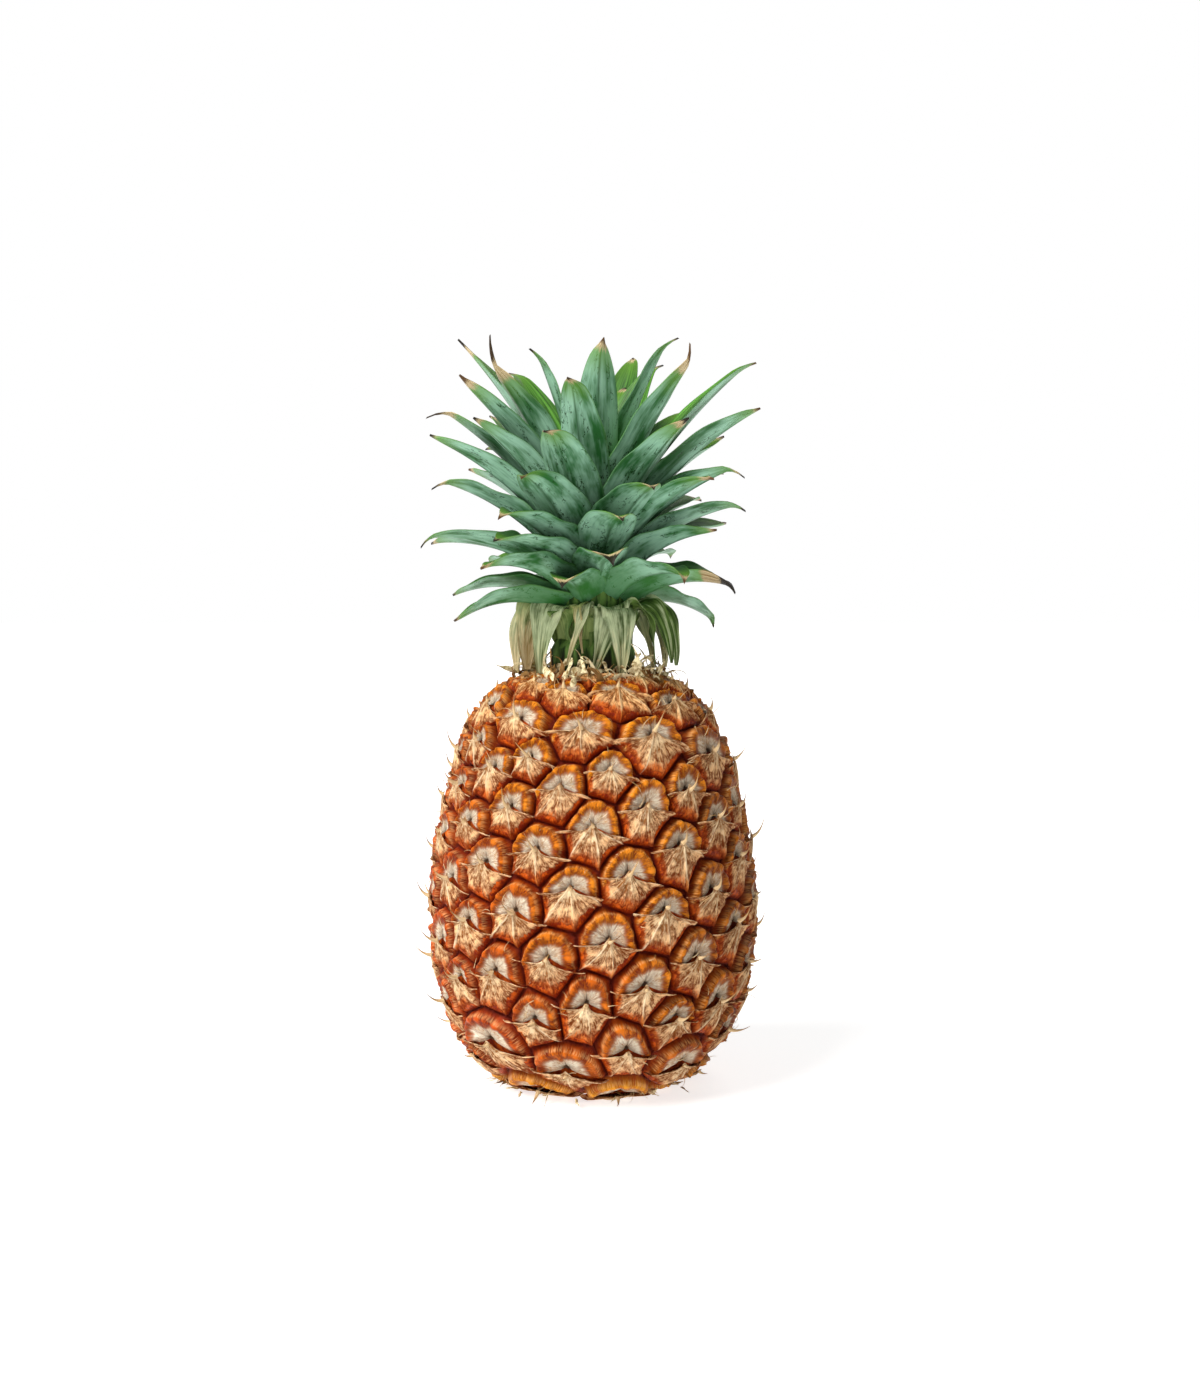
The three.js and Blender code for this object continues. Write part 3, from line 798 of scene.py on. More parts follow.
def grid_faces(columns, rows):
    """Quads between columns of points."""
    corners = ((0, 0), (1, 0), (1, 1), (0, 1))
    return [
        tuple((i + x) * rows + j + y for x, y in corners)
        for i in range(columns - 1)
        for j in range(rows - 1)
    ]


def bracts_mesh(name, eyes, thickness):
    """The bracts of some of the eyes as one piece."""
    bundle = Bundle()
    faces = grid_faces(BRACT_COLUMNS, BRACT_ROWS)
    for eye in eyes:
        points, pattern, flesh = bract_patch(eye)
        bundle.add(raised_to(points, thickness), faces, bract=pattern, flesh=flesh, lot=eye.lot)
    piece = bundle.piece(name)
    thicken(piece, thickness * MM)
    finish_mesh(piece, angle=50)
    return piece


def bract_material(settings):
    g = Graph("bract", roughness=0.7, specular=0.06)
    across, out, ridge = g.attribute("bract")
    bottom, flank, wing = g.attribute("flesh")
    chance, chance2, up = g.attribute("lot")
    place = g.object_place()
    side, _, _ = g.split(place)
    ray = g.vector(across * 16 + chance * 50, out * 1.4, chance2 * 9)
    streak = g.noise(ray, 2.6, 4.0, 0.65)
    fine = g.noise(ray, 8.0, 3.0)
    mottle = g.noise(place, 320, 4.0, 0.65)
    crumple = abs(g.noise(place, 170, 3.0, 0.6) - 0.5) * 4
    grain = streak * 0.4 + fine * 0.25 + mottle * 0.2 + crumple * 0.2

    # Dry paper, whiter at the beak and browner in spots.
    papery = g.mix(g.step(grain, 0.38, 0.58), rgb(114, 50, 12), settings.paper)
    white = g.mix(g.step(grain, 0.4, 0.56), rgb(160, 104, 52), rgb(252, 228, 186))
    papery = g.mix((1 - g.step(out + (streak - 0.5) * 0.6, 0.2, 0.7)) * 0.8, papery, white)
    papery = g.mix(g.step(mottle, 0.54, 0.68) * 0.5, papery, rgb(134, 60, 14))

    # Orange flesh down the middle and on the right, pale ridges and a dark lower edge.
    orange = g.mix(g.step(grain, 0.4, 0.6), rgb(130, 42, 0), rgb(210, 98, 12))
    fleshy = bottom * 0.95 + flank * 1.15 + (streak - 0.5) * 1.1 + (chance - 0.5) * 0.3 - side * 2
    color = g.mix(g.step(fleshy, 0.45, 0.95) * 0.88, papery, orange)
    pale = g.mix(g.step(bottom, 0.5, 0.9), settings.ridge, rgb(228, 142, 62))
    color = g.mix(g.step(ridge + (streak - 0.5) * 1.5, 0.35, 1.0) * 0.7, color, pale)
    low_edge = g.step(out, 0.86, 0.98) * (1 - g.step(wing, 0.1, 0.4))
    color = g.mix(low_edge * 0.8, color, rgb(124, 38, 2))
    # Painted shade on the right side, away from the key light.
    color = paint_shade_right(g, color, side, streak, (0.66, 0.6, 0.54))
    color = g.mix(g.step(up, 0.72, 0.9) * 0.7, color, (0.98, 0.82, 0.56), "MULTIPLY")
    height = streak * 0.5 + fine * 0.4 + crumple * 0.9
    return g.finish(color, None, height, distance=0.55)


# ---- Spines ----
SPINE_STEPS = 8
SPINE_SIDES = 6
SPINE_ROOT_HEIGHT = 4.2
SPINE_ROOT_DROP = 1.2
SPINE_RADII = (0.08, 0.85)  # at the tip, and so much more at the root
SPINE_USUAL = (0.12, 0.8)  # below and above these shares of the way up, spines are shorter
SPINE_SHORTER = 0.5
HAIRS_PER_EYE = 3
HAIR_STEPS = 7
HAIR_SIDES = 4
HAIR_ROOT_HEIGHT = 3.4
HAIR_RADII = (0.16, 0.05)
HAIR_FURTHEST_TURN = 2.4  # off the crownward line, in radians
HAIR_LENGTHS = (2.5, 7.5)
HAIR_CURLS = (0.5, 4)


def cross_faces(sides, rows):
    """The two closing faces of a tube with rows of points round it."""
    last = (rows - 1) * sides
    return [tuple(range(sides))[::-1], tuple(range(last, last + sides))]


def round_faces(sides, rows, closed=False):
    """Quads round a tube, from each row of points to the next, and back to the first if closed."""
    faces = []
    for i in range(rows if closed else rows - 1):
        low, high = i * sides, (i + 1) % rows * sides
        for j in range(sides):
            after = (j + 1) % sides
            faces.append((low + j, low + after, high + after, high + j))
    return faces


def tube(path, radii, across, sides, flatness=1.0):
    """A tapering tube along a path, closed at both ends; across is a direction off the path, and
    below 1 the flatness makes a ribbon of it."""
    along = unit(np.gradient(path, axis=0))
    side = unit(np.cross(along, across))
    other = np.cross(along, side) * flatness
    angle = np.linspace(0, 2 * math.pi, sides, endpoint=False)[None, :, None]
    ring = np.cos(angle) * side[:, None] + np.sin(angle) * other[:, None]
    points = (path[:, None] + ring * radii[:, None, None]).reshape(-1, 3)
    return points, round_faces(sides, len(path)) + cross_faces(sides, len(path))


def along_tube(t, sides, *chances):
    """For each point of a tube, its share of the way along and two chances."""
    return np.column_stack([np.repeat(t, sides), np.full((len(t) * sides, 2), chances)])


def curling(start, heading, length, curl, steps):
    """A path that sets out along a heading and turns steadily about a random axis."""
    heading = unit(heading)
    axis = unit(rng.normal(size=3))
    path = [start]
    for _ in range(steps - 1):
        heading = unit(heading + np.cross(axis, heading) * curl / steps)
        path.append(path[-1] + heading * length / (steps - 1))
    return np.array(path)


def spines_mesh(shortest, longest):
    """A spine over each pit, out from the beak and up."""
    bundle = Bundle()
    t = np.linspace(0, 1, SPINE_STEPS)
    for eye in showing_eyes():
        beak = Place(nearer_crown(eye.pit, BEAK_RISE * 0.6))
        usual = SPINE_USUAL[0] <= eye.share <= SPINE_USUAL[1]
        length = rng.uniform(shortest, longest) * (1 if usual else SPINE_SHORTER)
        curl = rng.uniform(-0.5, 0.5)
        rise = rng.uniform(0.35, 1.0)
        out = length * (0.9 * t - 0.25 * rise * t**2)
        up = length * rise * (0.15 * t + 0.75 * t**2) - SPINE_ROOT_DROP
        across = length * curl * t**2
        path = (
            beak.raised(SPINE_ROOT_HEIGHT)
            + beak.normal * out[:, None]
            + beak.crownward * up[:, None]
            + beak.right * across[:, None]
        )
        radii = SPINE_RADII[0] + SPINE_RADII[1] * (1 - t) ** 1.5
        points, faces = tube(path, radii, beak.right, SPINE_SIDES)
        vectors = along_tube(t, SPINE_SIDES, eye.chance[1], eye.share)
        bundle.add(raised_to(points, 0), faces, spine=vectors)
    piece = bundle.piece("spines")
    finish_mesh(piece, outward_normals=True)
    return piece


def hairs_mesh(per_eye):
    """Fine dry hairs that curl out from the edges of the bracts."""
    bundle = Bundle()
    t = np.linspace(0, 1, HAIR_STEPS)
    radii = np.linspace(*HAIR_RADII, HAIR_STEPS)
    for eye in showing_eyes():
        for turn in rng.uniform(-HAIR_FURTHEST_TURN, HAIR_FURTHEST_TURN, per_eye):
            reach = rng.uniform(0.2, 0.9)
            root = Place(lerp(eye.pit, eye.edge_at(np.array([turn]))[0], reach))
            heading = root.normal + 0.7 * root.crownward + rng.normal(size=3) * 0.5
            length, curl = rng.uniform(*HAIR_LENGTHS), rng.uniform(*HAIR_CURLS)
            path = curling(root.raised(HAIR_ROOT_HEIGHT), heading, length, curl, HAIR_STEPS)
            points, faces = tube(path, radii, unit(rng.normal(size=3)), HAIR_SIDES)
            chance = rng.random()
            vectors = along_tube(t, HAIR_SIDES, chance, chance)
            bundle.add(raised_to(points, 0.1), faces, spine=vectors)
    piece = bundle.piece("hairs")
    finish_mesh(piece, outward_normals=True)
    return piece


def spine_material():
    g = Graph("spine", roughness=0.6, specular=0.3)
    along, chance, _ = g.attribute("spine")
    grain = g.noise(g.object_place(), 420, 3.0)
    root = g.mix(grain, rgb(190, 150, 100), rgb(240, 216, 170))
    tip = g.mix(chance, rgb(104, 58, 28), rgb(196, 150, 92))
    return g.finish(g.mix(g.step(along, 0.25, 0.9), root, tip), None, grain, distance=0.15)


# ---- Leaves ----
LEAF_COUNT = 62
LEAF_FIRST_AZIMUTH = 156.5
# From the lowest leaf to the innermost: the height and radius of its root, the height of its tip.
LEAF_ROOT_LOW, LEAF_ROOT_HIGH = 181, 210
LEAF_ROOT_OUTER, LEAF_ROOT_INNER = 10, 2
LEAF_TIP_LOW, LEAF_TIP_HIGH = 183.5, 290
# How far out the tips of the lowest, the widest and the innermost leaf reach.
LEAF_REACH_LOW, LEAF_REACH_WIDEST, LEAF_REACH_INNER = 54, 60, 20
LEAF_WIDEST_AT = 0.7
# A leaf's bow as a share of its length, and the shares of the way along where it is bent.
LEAF_ARCH_LOW, LEAF_ARCH_HIGH = 0.2, 0.05
LEAF_BENDS = (0.3, 0.68)
LEAF_WIDTH = 21
LEAF_NARROWEST, LEAF_WIDENING = 0.78, 0.22  # shares of that width, by place in the crown
LEAF_THICKNESS = 1.7
LEAF_CHANNEL = 0.33
# Past this share of its length a leaf is a dry thread, this wide, that runs out at its tip.
LEAF_BODY = 0.985
LEAF_THREAD, LEAF_THREAD_TIP, LEAF_THREAD_TAPER = 2, 0.2, 26
# By number up the spiral: degrees further round, millimetres higher at the tip and further out.
LEAF_HABITS = {
    1: (0, -6, 2), 2: (0, 5, 3), 4: (0, 3, -8), 5: (-8, -14, 0), 6: (0, -5, 0), 10: (0, -6, -6),
    12: (0, -2, 0), 14: (0, 3, 10), 15: (0, 3, -4), 17: (-11, -4, 0), 18: (0, 2, 0),
    19: (8, -7, 8), 20: (-17, -1, 0), 22: (24, -3, 0), 27: (0, 3, 2), 30: (13, -3, 0),
    31: (0, 0, -8), 33: (9, -12, -3), 35: (-6, 4, 3), 36: (0, -9, 0), 38: (2, -1, -4),
    40: (-20, -4, -10), 41: (2, -3, -3), 43: (-8, -4, -8), 44: (0, 0, 4), 46: (-11, 4, -10),
    48: (0, -6, 2), 49: (-5, 9, -7), 51: (-32, -3, 0), 52: (-4, 7, 10), 53: (8, 13, 2),
    54: (-16, 5, -22), 55: (0, 8, 0), 57: (4, 5, -15), 58: (12, -5, 4), 59: (166, -14, -8),
    60: (4, -7, 0), 61: (0, -6, 2),
}
LEAVES_LOST = (25,)
# The share of its length that each of these has dried to straw.
DRY_LEAVES = {
    2: 0.2, 4: 0.05, 10: 0.03, 12: 0.08, 27: 0.02, 38: 0.01, 41: 0.02, 48: 0.06, 49: 0.07, 51: 0.03,
    53: 0.05, 56: 0.14,
}
# Where a leaf's dried tip begins, and how far it hooks up and to the side.
HOOKED_LEAVES = {
    14: (0.94, -4, 2), 27: (0.95, -4, 0), 36: (0.95, -5, 0), 48: (0.94, -6, 0), 49: (0.94, 3.5, -2),
    53: (0.92, 0, 0), 56: (0.88, 6, 1), 57: (0.95, -3, 2),
}
BLANK_COLUMNS = 12
BLANK_ROWS = 34
# Towards its end a blade's channel opens and the blade thins, as it does towards its edges.
CHANNEL_OPENING = 0.6
CHANNEL_CURVE = 1.12
CHANNEL_DRAW = 0.25
END_THINNING = 0.55
EDGE_THINNING = 0.7
RIPPLE_TURN = 21
RIPPLE_SIZE = 0.1


def leaf_blank():
    """A flat, even blade: x from -1 to 1 across, y from 0 to 1 along, z from 0 down to -1."""
    deselect()
    bpy.ops.mesh.primitive_grid_add(
        x_subdivisions=BLANK_COLUMNS, y_subdivisions=BLANK_ROWS, size=2, location=(0, 0, 0)
    )
    blank = bpy.context.active_object
    thicken(blank, 1)
    points = np.array([vertex.co for vertex in blank.data.vertices])
    faces = [tuple(face.vertices) for face in blank.data.polygons]
    bpy.data.objects.remove(blank)
    points[:, 1] = (points[:, 1] + 1) / 2
    return points, faces


def bezier(curve, u):
    """Points and directions along a curve with four control points."""
    p = np.array(curve, float)
    u = u[:, None]
    v = 1 - u
    point = v**3 * p[0] + 3 * v**2 * u * p[1] + 3 * v * u**2 * p[2] + u**3 * p[3]
    slope = 3 * v**2 * (p[1] - p[0]) + 6 * v * u * (p[2] - p[1]) + 3 * u**2 * (p[3] - p[2])
    return point, unit(slope)


@dataclass
class Blade:
    """A leaf bent along a curve of (radius, height) points in the plane of its azimuth.

    width is a function of the share of the way along, curl moves the end, from curl_from on, off
    its inner face and to the side, and pinch folds the end along its middle.
    """

    azimuth: float
    curve: list
    width: Callable
    thickness: float
    channel: float
    wave: float
    phase: float
    twist: float
    curl: tuple
    curl_from: float
    pinch: float = 0.0

    def shape(self, blank):
        w, u, layer = blank[:, 0], blank[:, 1], -blank[:, 2]
        point, slope = bezier(self.curve, u)
        out = outward(np.array(self.azimuth))
        side = np.cross(UP, out)
        centre = out * point[:, :1] + UP * point[:, 1:]
        along = out * slope[:, :1] + UP * slope[:, 1:]
        face = np.cross(along, side)
        hook = np.clip((u - self.curl_from) / (1 - self.curl_from), 0, 1)
        centre = centre + face * (self.curl[0] * hook**2)[:, None]
        centre = centre + side * (self.curl[1] * hook**2)[:, None]
        angle = self.twist * smooth(u, 0.15, 0.75)
        across = side * np.cos(angle)[:, None] + face * np.sin(angle)[:, None]
        face = np.cross(along, across)
        half = self.width(u) / 2
        channel = self.channel * (1 - CHANNEL_OPENING * u) + self.pinch * smooth(u, 0.8, 1)
        lift = 2 * half * channel * np.abs(w) ** CHANNEL_CURVE
        ripple = self.wave * np.sin(u * RIPPLE_TURN + self.phase + np.sign(w))
        ripple = ripple * np.abs(w) ** 3 * half * RIPPLE_SIZE
        thick = layer * self.thickness * (1 - END_THINNING * u)
        thick = thick * (1 - EDGE_THINNING * np.abs(w) ** 2)
        draw = 1 - CHANNEL_DRAW * channel * np.abs(w)
        return (
            centre
            + across * (w * half * draw)[:, None]
            + face * (lift + ripple - thick)[:, None]
        )


def crown_leaf(k, width, thickness):
    """The blade with the number k up the spiral."""
    t = k / (LEAF_COUNT - 1)
    turn, rise_more, reach_more = LEAF_HABITS.get(k, (0, 0, 0))
    azimuth = math.radians(LEAF_FIRST_AZIMUTH + GOLDEN_ANGLE * k + turn)
    opening = math.sin(math.pi / 2 * min(1, t / LEAF_WIDEST_AT))
    closing = min(1, max(0, (t - LEAF_WIDEST_AT) / (1 - LEAF_WIDEST_AT)))
    if t < LEAF_WIDEST_AT:
        reach = lerp(LEAF_REACH_LOW, LEAF_REACH_WIDEST, opening)
    else:
        reach = lerp(LEAF_REACH_INNER, LEAF_REACH_WIDEST, math.sqrt(1 - closing**2))
    reach += reach_more
    root_height = lerp(LEAF_ROOT_LOW, LEAF_ROOT_HIGH, t)
    root_radius = lerp(LEAF_ROOT_OUTER, LEAF_ROOT_INNER, t)
    tip_height = lerp(LEAF_TIP_LOW, LEAF_TIP_HIGH, t) + rise_more
    rise, run = tip_height - root_height, reach - root_radius
    length = math.hypot(rise, run)
    arch = lerp(LEAF_ARCH_LOW, LEAF_ARCH_HIGH, t) * length
    widening = LEAF_WIDENING * math.sin(math.pi * min(1, t * 1.2))
    widest = width * (LEAF_NARROWEST + widening)
    usual = (LEAF_BODY, rng.uniform(-3, 1), rng.uniform(-2, 2))
    body, hook, sideways = HOOKED_LEAVES.get(k, usual)

    def bow(share):
        return (root_radius + run * share - rise / length * arch,
                root_height + rise * share + run / length * arch)

    def width_at(u):
        thread = np.minimum(LEAF_THREAD, LEAF_THREAD_TIP + LEAF_THREAD_TAPER * (1 - u))
        return widest * np.maximum(1 - (u / body) ** 5, 0) ** 0.9 + thread

    return Blade(
        azimuth,
        [(root_radius, root_height), *map(bow, LEAF_BENDS), (reach, tip_height)],
        width_at,
        thickness,
        LEAF_CHANNEL,
        wave=rng.uniform(0.2, 0.8),
        phase=rng.uniform(0, 6),
        twist=rng.uniform(-0.25, 0.25),
        curl=(hook, sideways),
        curl_from=min(body, 0.93) - 0.03,
    )


def blades_piece(name, blades):
    """One piece of all the blades, each given with the three chances that its pattern reads."""
    blank, faces = leaf_blank()
    bundle = Bundle()
    for blade, chances in blades:
        bundle.add(blade.shape(blank), faces, blade=blank * (1, 1, -1), lot=chances)
    piece = bundle.piece(name)
    finish_mesh(piece, angle=50, outward_normals=True)
    return piece


def crown_mesh(width, thickness):
    """All the living leaves, less the lost ones."""
    blades = []
    for k in range(LEAF_COUNT):
        if k not in LEAVES_LOST:
            blade = crown_leaf(k, width, thickness)
            dryness = DRY_LEAVES.get(k, rng.uniform(-0.03, 0.01))
            blades.append((blade, (rng.random(), dryness, k / (LEAF_COUNT - 1))))
    return blades_piece("crown_leaves", blades)


def leaf_material(settings):
    g = Graph("leaf", roughness=0.45, specular=0.25)
    across, along, layer = g.attribute("blade")
    chance, dryness, up = g.attribute("lot")
    spread = g.vector(across * 0.9 + chance * 30, along * 2.2, layer * 7 + chance * 11)
    broad = g.noise(spread, 1.8, 3.0)
    streak = g.noise(g.vector(across * 4 + chance * 30, along * 2, layer * 5), 1.8, 4.0, 0.6)
    veins = g.noise(g.vector(across * 26 + chance * 30, along * 1.0, layer), 2.0, 2.0)
    scuff = g.noise(g.vector(across * 2 + chance * 50, along * 6, layer), 2.0, 3.0, 0.6)

    # The back: wax over green, painted shade along the keel, scuffs through the wax and a fresher
    # base.
    wax = g.step(broad * 0.72 + streak * 0.28, 0.35, 0.6)
    outer = g.mix(wax, settings.green, settings.wax)
    outer = g.mix(g.step(veins, 0.3, 0.7) * 0.2, outer, rgb(64, 124, 76))
    keel_shade = (1 - g.step(abs(across + (streak - 0.5) * 0.2), 0.0, 0.12)) * g.step(broad, 0.35, 0.5)
    outer = g.mix(keel_shade * 0.7, outer, rgb(30, 74, 30))
    patches = g.noise(g.vector(across * 1.3 + chance * 9, along * 3, layer), 2.0, 2.0)
    rubbed = (1 - g.step(abs(scuff - 0.5), 0.008, 0.028)) * g.step(patches, 0.5, 0.6)
    outer = g.mix(rubbed * 0.9, outer, rgb(20, 62, 20))
    low = 1 - g.step(up, 0.05, 0.3)
    base = 1 - g.step(along - low * 0.25, 0.1, 0.5)
    outer = g.mix(base * (low * 0.3 + 0.5), outer, rgb(50, 108, 44))

    # The inner face, fresher on the young leaves, and a paler edge.
    young = g.step(up + (chance - 0.5) * 0.3, 0.7, 0.95)
    fresh = g.mix(young, rgb(60, 106, 42), settings.fresh)
    inner = g.mix(g.step(streak * 0.6 + veins * 0.4, 0.35, 0.65), rgb(24, 60, 20), fresh)
    color = g.mix(g.step(layer, 0.4, 0.6), inner, outer)
    color = g.mix(g.step(abs(across), 0.9, 0.99) * 0.4, color, rgb(70, 126, 50))

    # The end: yellowing, straw, and a dark tip.
    end = along + (streak - 0.5) * 0.08 + (scuff - 0.5) * 0.05
    fade = 0.95 - dryness
    color = g.mix(g.step(end - fade, -0.16, 0.0) * 0.7, color, rgb(92, 140, 36))
    straw = g.mix(g.step(veins, 0.4, 0.6), rgb(134, 108, 64), settings.straw)
    color = g.mix(g.step(end - fade, -0.015, 0.015), color, straw)
    dark = g.mix(g.step(chance, 0.6, 0.95), rgb(30, 24, 12), rgb(90, 62, 30))
    scorch = dryness.math("MAXIMUM", 0) * 0.5
    color = g.mix(g.step(end + scorch, 0.968, 0.985), color, dark)
    height = veins * 0.35 + streak * 0.2 + rubbed * 0.15
    return g.finish(color, None, height, distance=0.15)


# ---- Withered leaves ----
WITHERED_COUNT = 17
WITHERED_FIRST_AZIMUTH = 12
WITHERED_WIDTH = 12
WITHERED_THICKNESS = 0.6
# Where a leaf starts on the stem, (radius, height), the height that it folds over at, how far out
# it hangs and the height of its end.
WITHERED_ROOT = (13, 168)
WITHERED_FOLD = 193
WITHERED_REACH = 32
WITHERED_HANG = 158.5
# By number round the stem: degrees further round, millimetres higher at the end, further out and
# wider, how pale it is, its twist, and how far its end hangs to the side.
WITHERED_HABITS = {
    0: (9, 0, -7, 4, 0.3, 0.1, -8),
    2: (4, 0, -2, 6, 0.62, -1.0, -4),
    3: (0, 3, 2, -4, 0.05, 0.9, 4),
    5: (2, 7, -9, -5, 0.9, 0.6, 2),
    7: (0, 0, -2, 2, 0.3, -0.5, -2),
    8: (-5, 0, -6, 1, 0.35, 0.2, 0),
    10: (-3, 0, -5, 6, 0.3, -0.8, 1),
    11: (0, 2, 2, -3, 0.1, 1.0, 2),
    13: (-8, 3, -8, -6, 0.45, 0.5, -7),
    15: (2, 0, -2, 4, 0.5, -0.7, 1),
    16: (0, 3, 1, -3, 0.0, -0.8, 3),
}


def withered_leaf(k, usual_width, thickness):
    """A blade that rises from the stem, folds over and hangs, and the chances of its pattern."""
    usual = (0, 0, 0, 0, rng.random(), rng.uniform(-0.4, 0.4), rng.uniform(-4, 4))
    turn, rise, more_reach, more_width, tone, twist, aside = WITHERED_HABITS.get(k, usual)
    fold = WITHERED_FOLD - rng.uniform(0, 3)
    reach = WITHERED_REACH - rng.uniform(0, 4) + more_reach
    hang = WITHERED_HANG + rng.uniform(0, 2) + rise
    width = usual_width * rng.uniform(0.9, 1.15) + more_width
    point = rng.uniform(3, 7)
    blade = Blade(
        math.radians(WITHERED_FIRST_AZIMUTH + GOLDEN_ANGLE * k + turn),
        [WITHERED_ROOT, (WITHERED_ROOT[0] + 2, fold), (reach, fold), (reach, hang)],
        lambda u: width * (1.15 - 0.35 * u) * (1.02 - u**point * 0.85),
        thickness,
        channel=rng.uniform(0.05, 0.2),
        wave=rng.uniform(1.5, 4.0),
        phase=rng.uniform(0, 6),
        twist=twist,
        curl=(rng.uniform(-2.5, 2), aside),
        curl_from=0.5,
        pinch=rng.uniform(0, 0.5),
    )
    return blade, (rng.random(), tone, rng.random())


def withered_mesh(width, thickness):
    """All the withered leaves that hang round the neck."""
    blades = [withered_leaf(k, width, thickness) for k in range(WITHERED_COUNT)]
    return blades_piece("withered_straps", blades)


SHREDS_AT_NECK = 210
SHREDS_AT_FOOT = 46
SHRED_STEPS = 9
SHRED_SIDES = 6
# Every so many shreds is a pale one, and at the neck a curl, so much longer and steeper.
TALL_EVERY = 7
TALL_LONGER = 7
TALL_STEEPER = 2.6
TALL_PALER = 0.55
# The neck's shreds lie over the rind, which falls away from this height and radius.
NECK_SHRED_FLOOR = 158.3
NECK_SHRED_RADIUS = 22
NECK_SHRED_SLOPE = 0.25
FOOT_SHRED_FLOOR = 0.2


def shred_start(at_neck, tall, out):
    """A shred's root, its heading, length, curl and width."""
    side = np.cross(UP, out)
    if not at_neck:
        start = out * rng.uniform(33, 40) + UP * rng.uniform(1.5, 5)
        heading = out + UP * rng.uniform(-0.4, 0.1) + side * rng.uniform(-0.9, 0.9)
        return start, heading, rng.uniform(4, 8), rng.uniform(0, 1.5), rng.uniform(0.4, 1.2)
    start = out * rng.uniform(16.5, 30) + UP * rng.uniform(156.5, 160.5)
    heading = out * rng.uniform(-0.2, 1) + UP * rng.uniform(0, 1.2) + side * rng.uniform(-1.5, 1.5)
    length, curl, width = rng.uniform(4, 12), rng.uniform(1, 5), 0.5 + 2.4 * rng.random() ** 2
    if tall:
        return start, heading + UP * TALL_STEEPER, length + TALL_LONGER, curl, rng.uniform(0.9, 2)
    return start, heading, length, curl, width


def shreds_mesh(neck_count, foot_count):
    """Frayed bits of dry leaf round the neck, and of dry bract round the foot."""
    bundle = Bundle()
    t = np.linspace(0, 1, SHRED_STEPS)
    for i in range(neck_count + foot_count):
        at_neck = i < neck_count
        tall = i % TALL_EVERY == 0
        out = outward(np.array(rng.uniform(0, 2 * math.pi)))
        start, heading, length, curl, width = shred_start(at_neck, tall, out)
        path = curling(start, heading, length, curl, SHRED_STEPS)
        radii = width * (1 - 0.85 * t**1.5) * (0.7 + 0.3 * np.sin(t * 9 + i))
        across = out + rng.normal(size=3) * 0.4
        points, faces = tube(path, radii, across, SHRED_SIDES, flatness=0.25)
        r = np.hypot(points[:, 0], points[:, 1])
        over_rind = NECK_SHRED_FLOOR - NECK_SHRED_SLOPE * (r - NECK_SHRED_RADIUS)
        points = raised_to(points, over_rind if at_neck else FOOT_SHRED_FLOOR)
        tone = rng.random() * (TALL_PALER if tall else 1)
        bundle.add(points, faces, shred=along_tube(t, SHRED_SIDES, tone, 0))
    piece = bundle.piece("shreds")
    finish_mesh(piece, outward_normals=True)
    return piece


def shred_material():
    g = Graph("shred", roughness=0.8, specular=0.2)
    _, tone, _ = g.attribute("shred")
    grain = g.noise(g.object_place(), 500, 4.0, 0.65)
    pale = g.mix(g.step(grain, 0.35, 0.6), rgb(140, 112, 60), rgb(244, 230, 186))
    brown = g.mix(grain, rgb(70, 44, 18), rgb(170, 126, 70))
    color = g.mix(g.step(tone + (grain - 0.5) * 0.4, 0.5, 0.75), pale, brown)
    return g.finish(color, None, grain, distance=0.2)


def withered_material(settings):
    g = Graph("withered leaf", roughness=0.75, specular=0.2)
    across, along, layer = g.attribute("blade")
    chance, tone, _ = g.attribute("lot")
    rib = g.noise(g.vector(across * 8 + chance * 30, along * 1.0, layer), 2.0, 3.0)
    band = g.noise(g.vector(across * 1.1 + chance * 30, along * 1.2, layer + chance), 2.0, 3.0)
    blotch = g.noise(g.vector(across * 2 + chance * 30, along * 5, chance), 2.0, 4.0)
    line = g.step(rib * 0.3 + band * 0.45 + blotch * 0.25, 0.36, 0.62)
    grey = g.mix(line, rgb(70, 86, 40), settings.grey)
    olive = g.mix(line, rgb(28, 48, 12), settings.olive)
    straw = g.mix(line, rgb(142, 112, 62), settings.straw)
    color = g.mix(g.step(tone + (band - 0.5) * 1.3, 0.05, 0.3), olive, grey)
    dried = along + (blotch - 0.5) * 0.8 + (tone - 0.5) * 1.1
    color = g.mix(g.step(dried, 0.6, 1.05), color, straw)
    green = g.mix(line, rgb(62, 100, 32), rgb(158, 184, 92))
    leafy = 1 - g.step(along - g.step(tone, 0.5, 0.6) * 0.3, 0.15, 0.6)
    color = g.mix(leafy * g.step(tone, 0.1, 0.3) * 0.75, color, green)
    return g.finish(color, None, rib, distance=0.2)


# ---- Stem ----
# Outlines to turn, (radius, height): the stem among the leaves, and the dead leaf bases round it.
CROWN_STEM = [(12.5, 154.3), (12.5, 179), (14.5, 186), (13, 197), (9.5, 208), (5, 218), (0.05, 224)]
SLEEVE = [(12.9, 154.3), (15.8, 154.3), (16.2, 160), (15.8, 168), (14.2, 172), (12.9, 172)]
TURN_SIDES = 48
ROUGH_RADIUS = 15  # the radius at which a turned skin's roughness is in millimetres
STEM_SHADE = rgb(30, 58, 18)


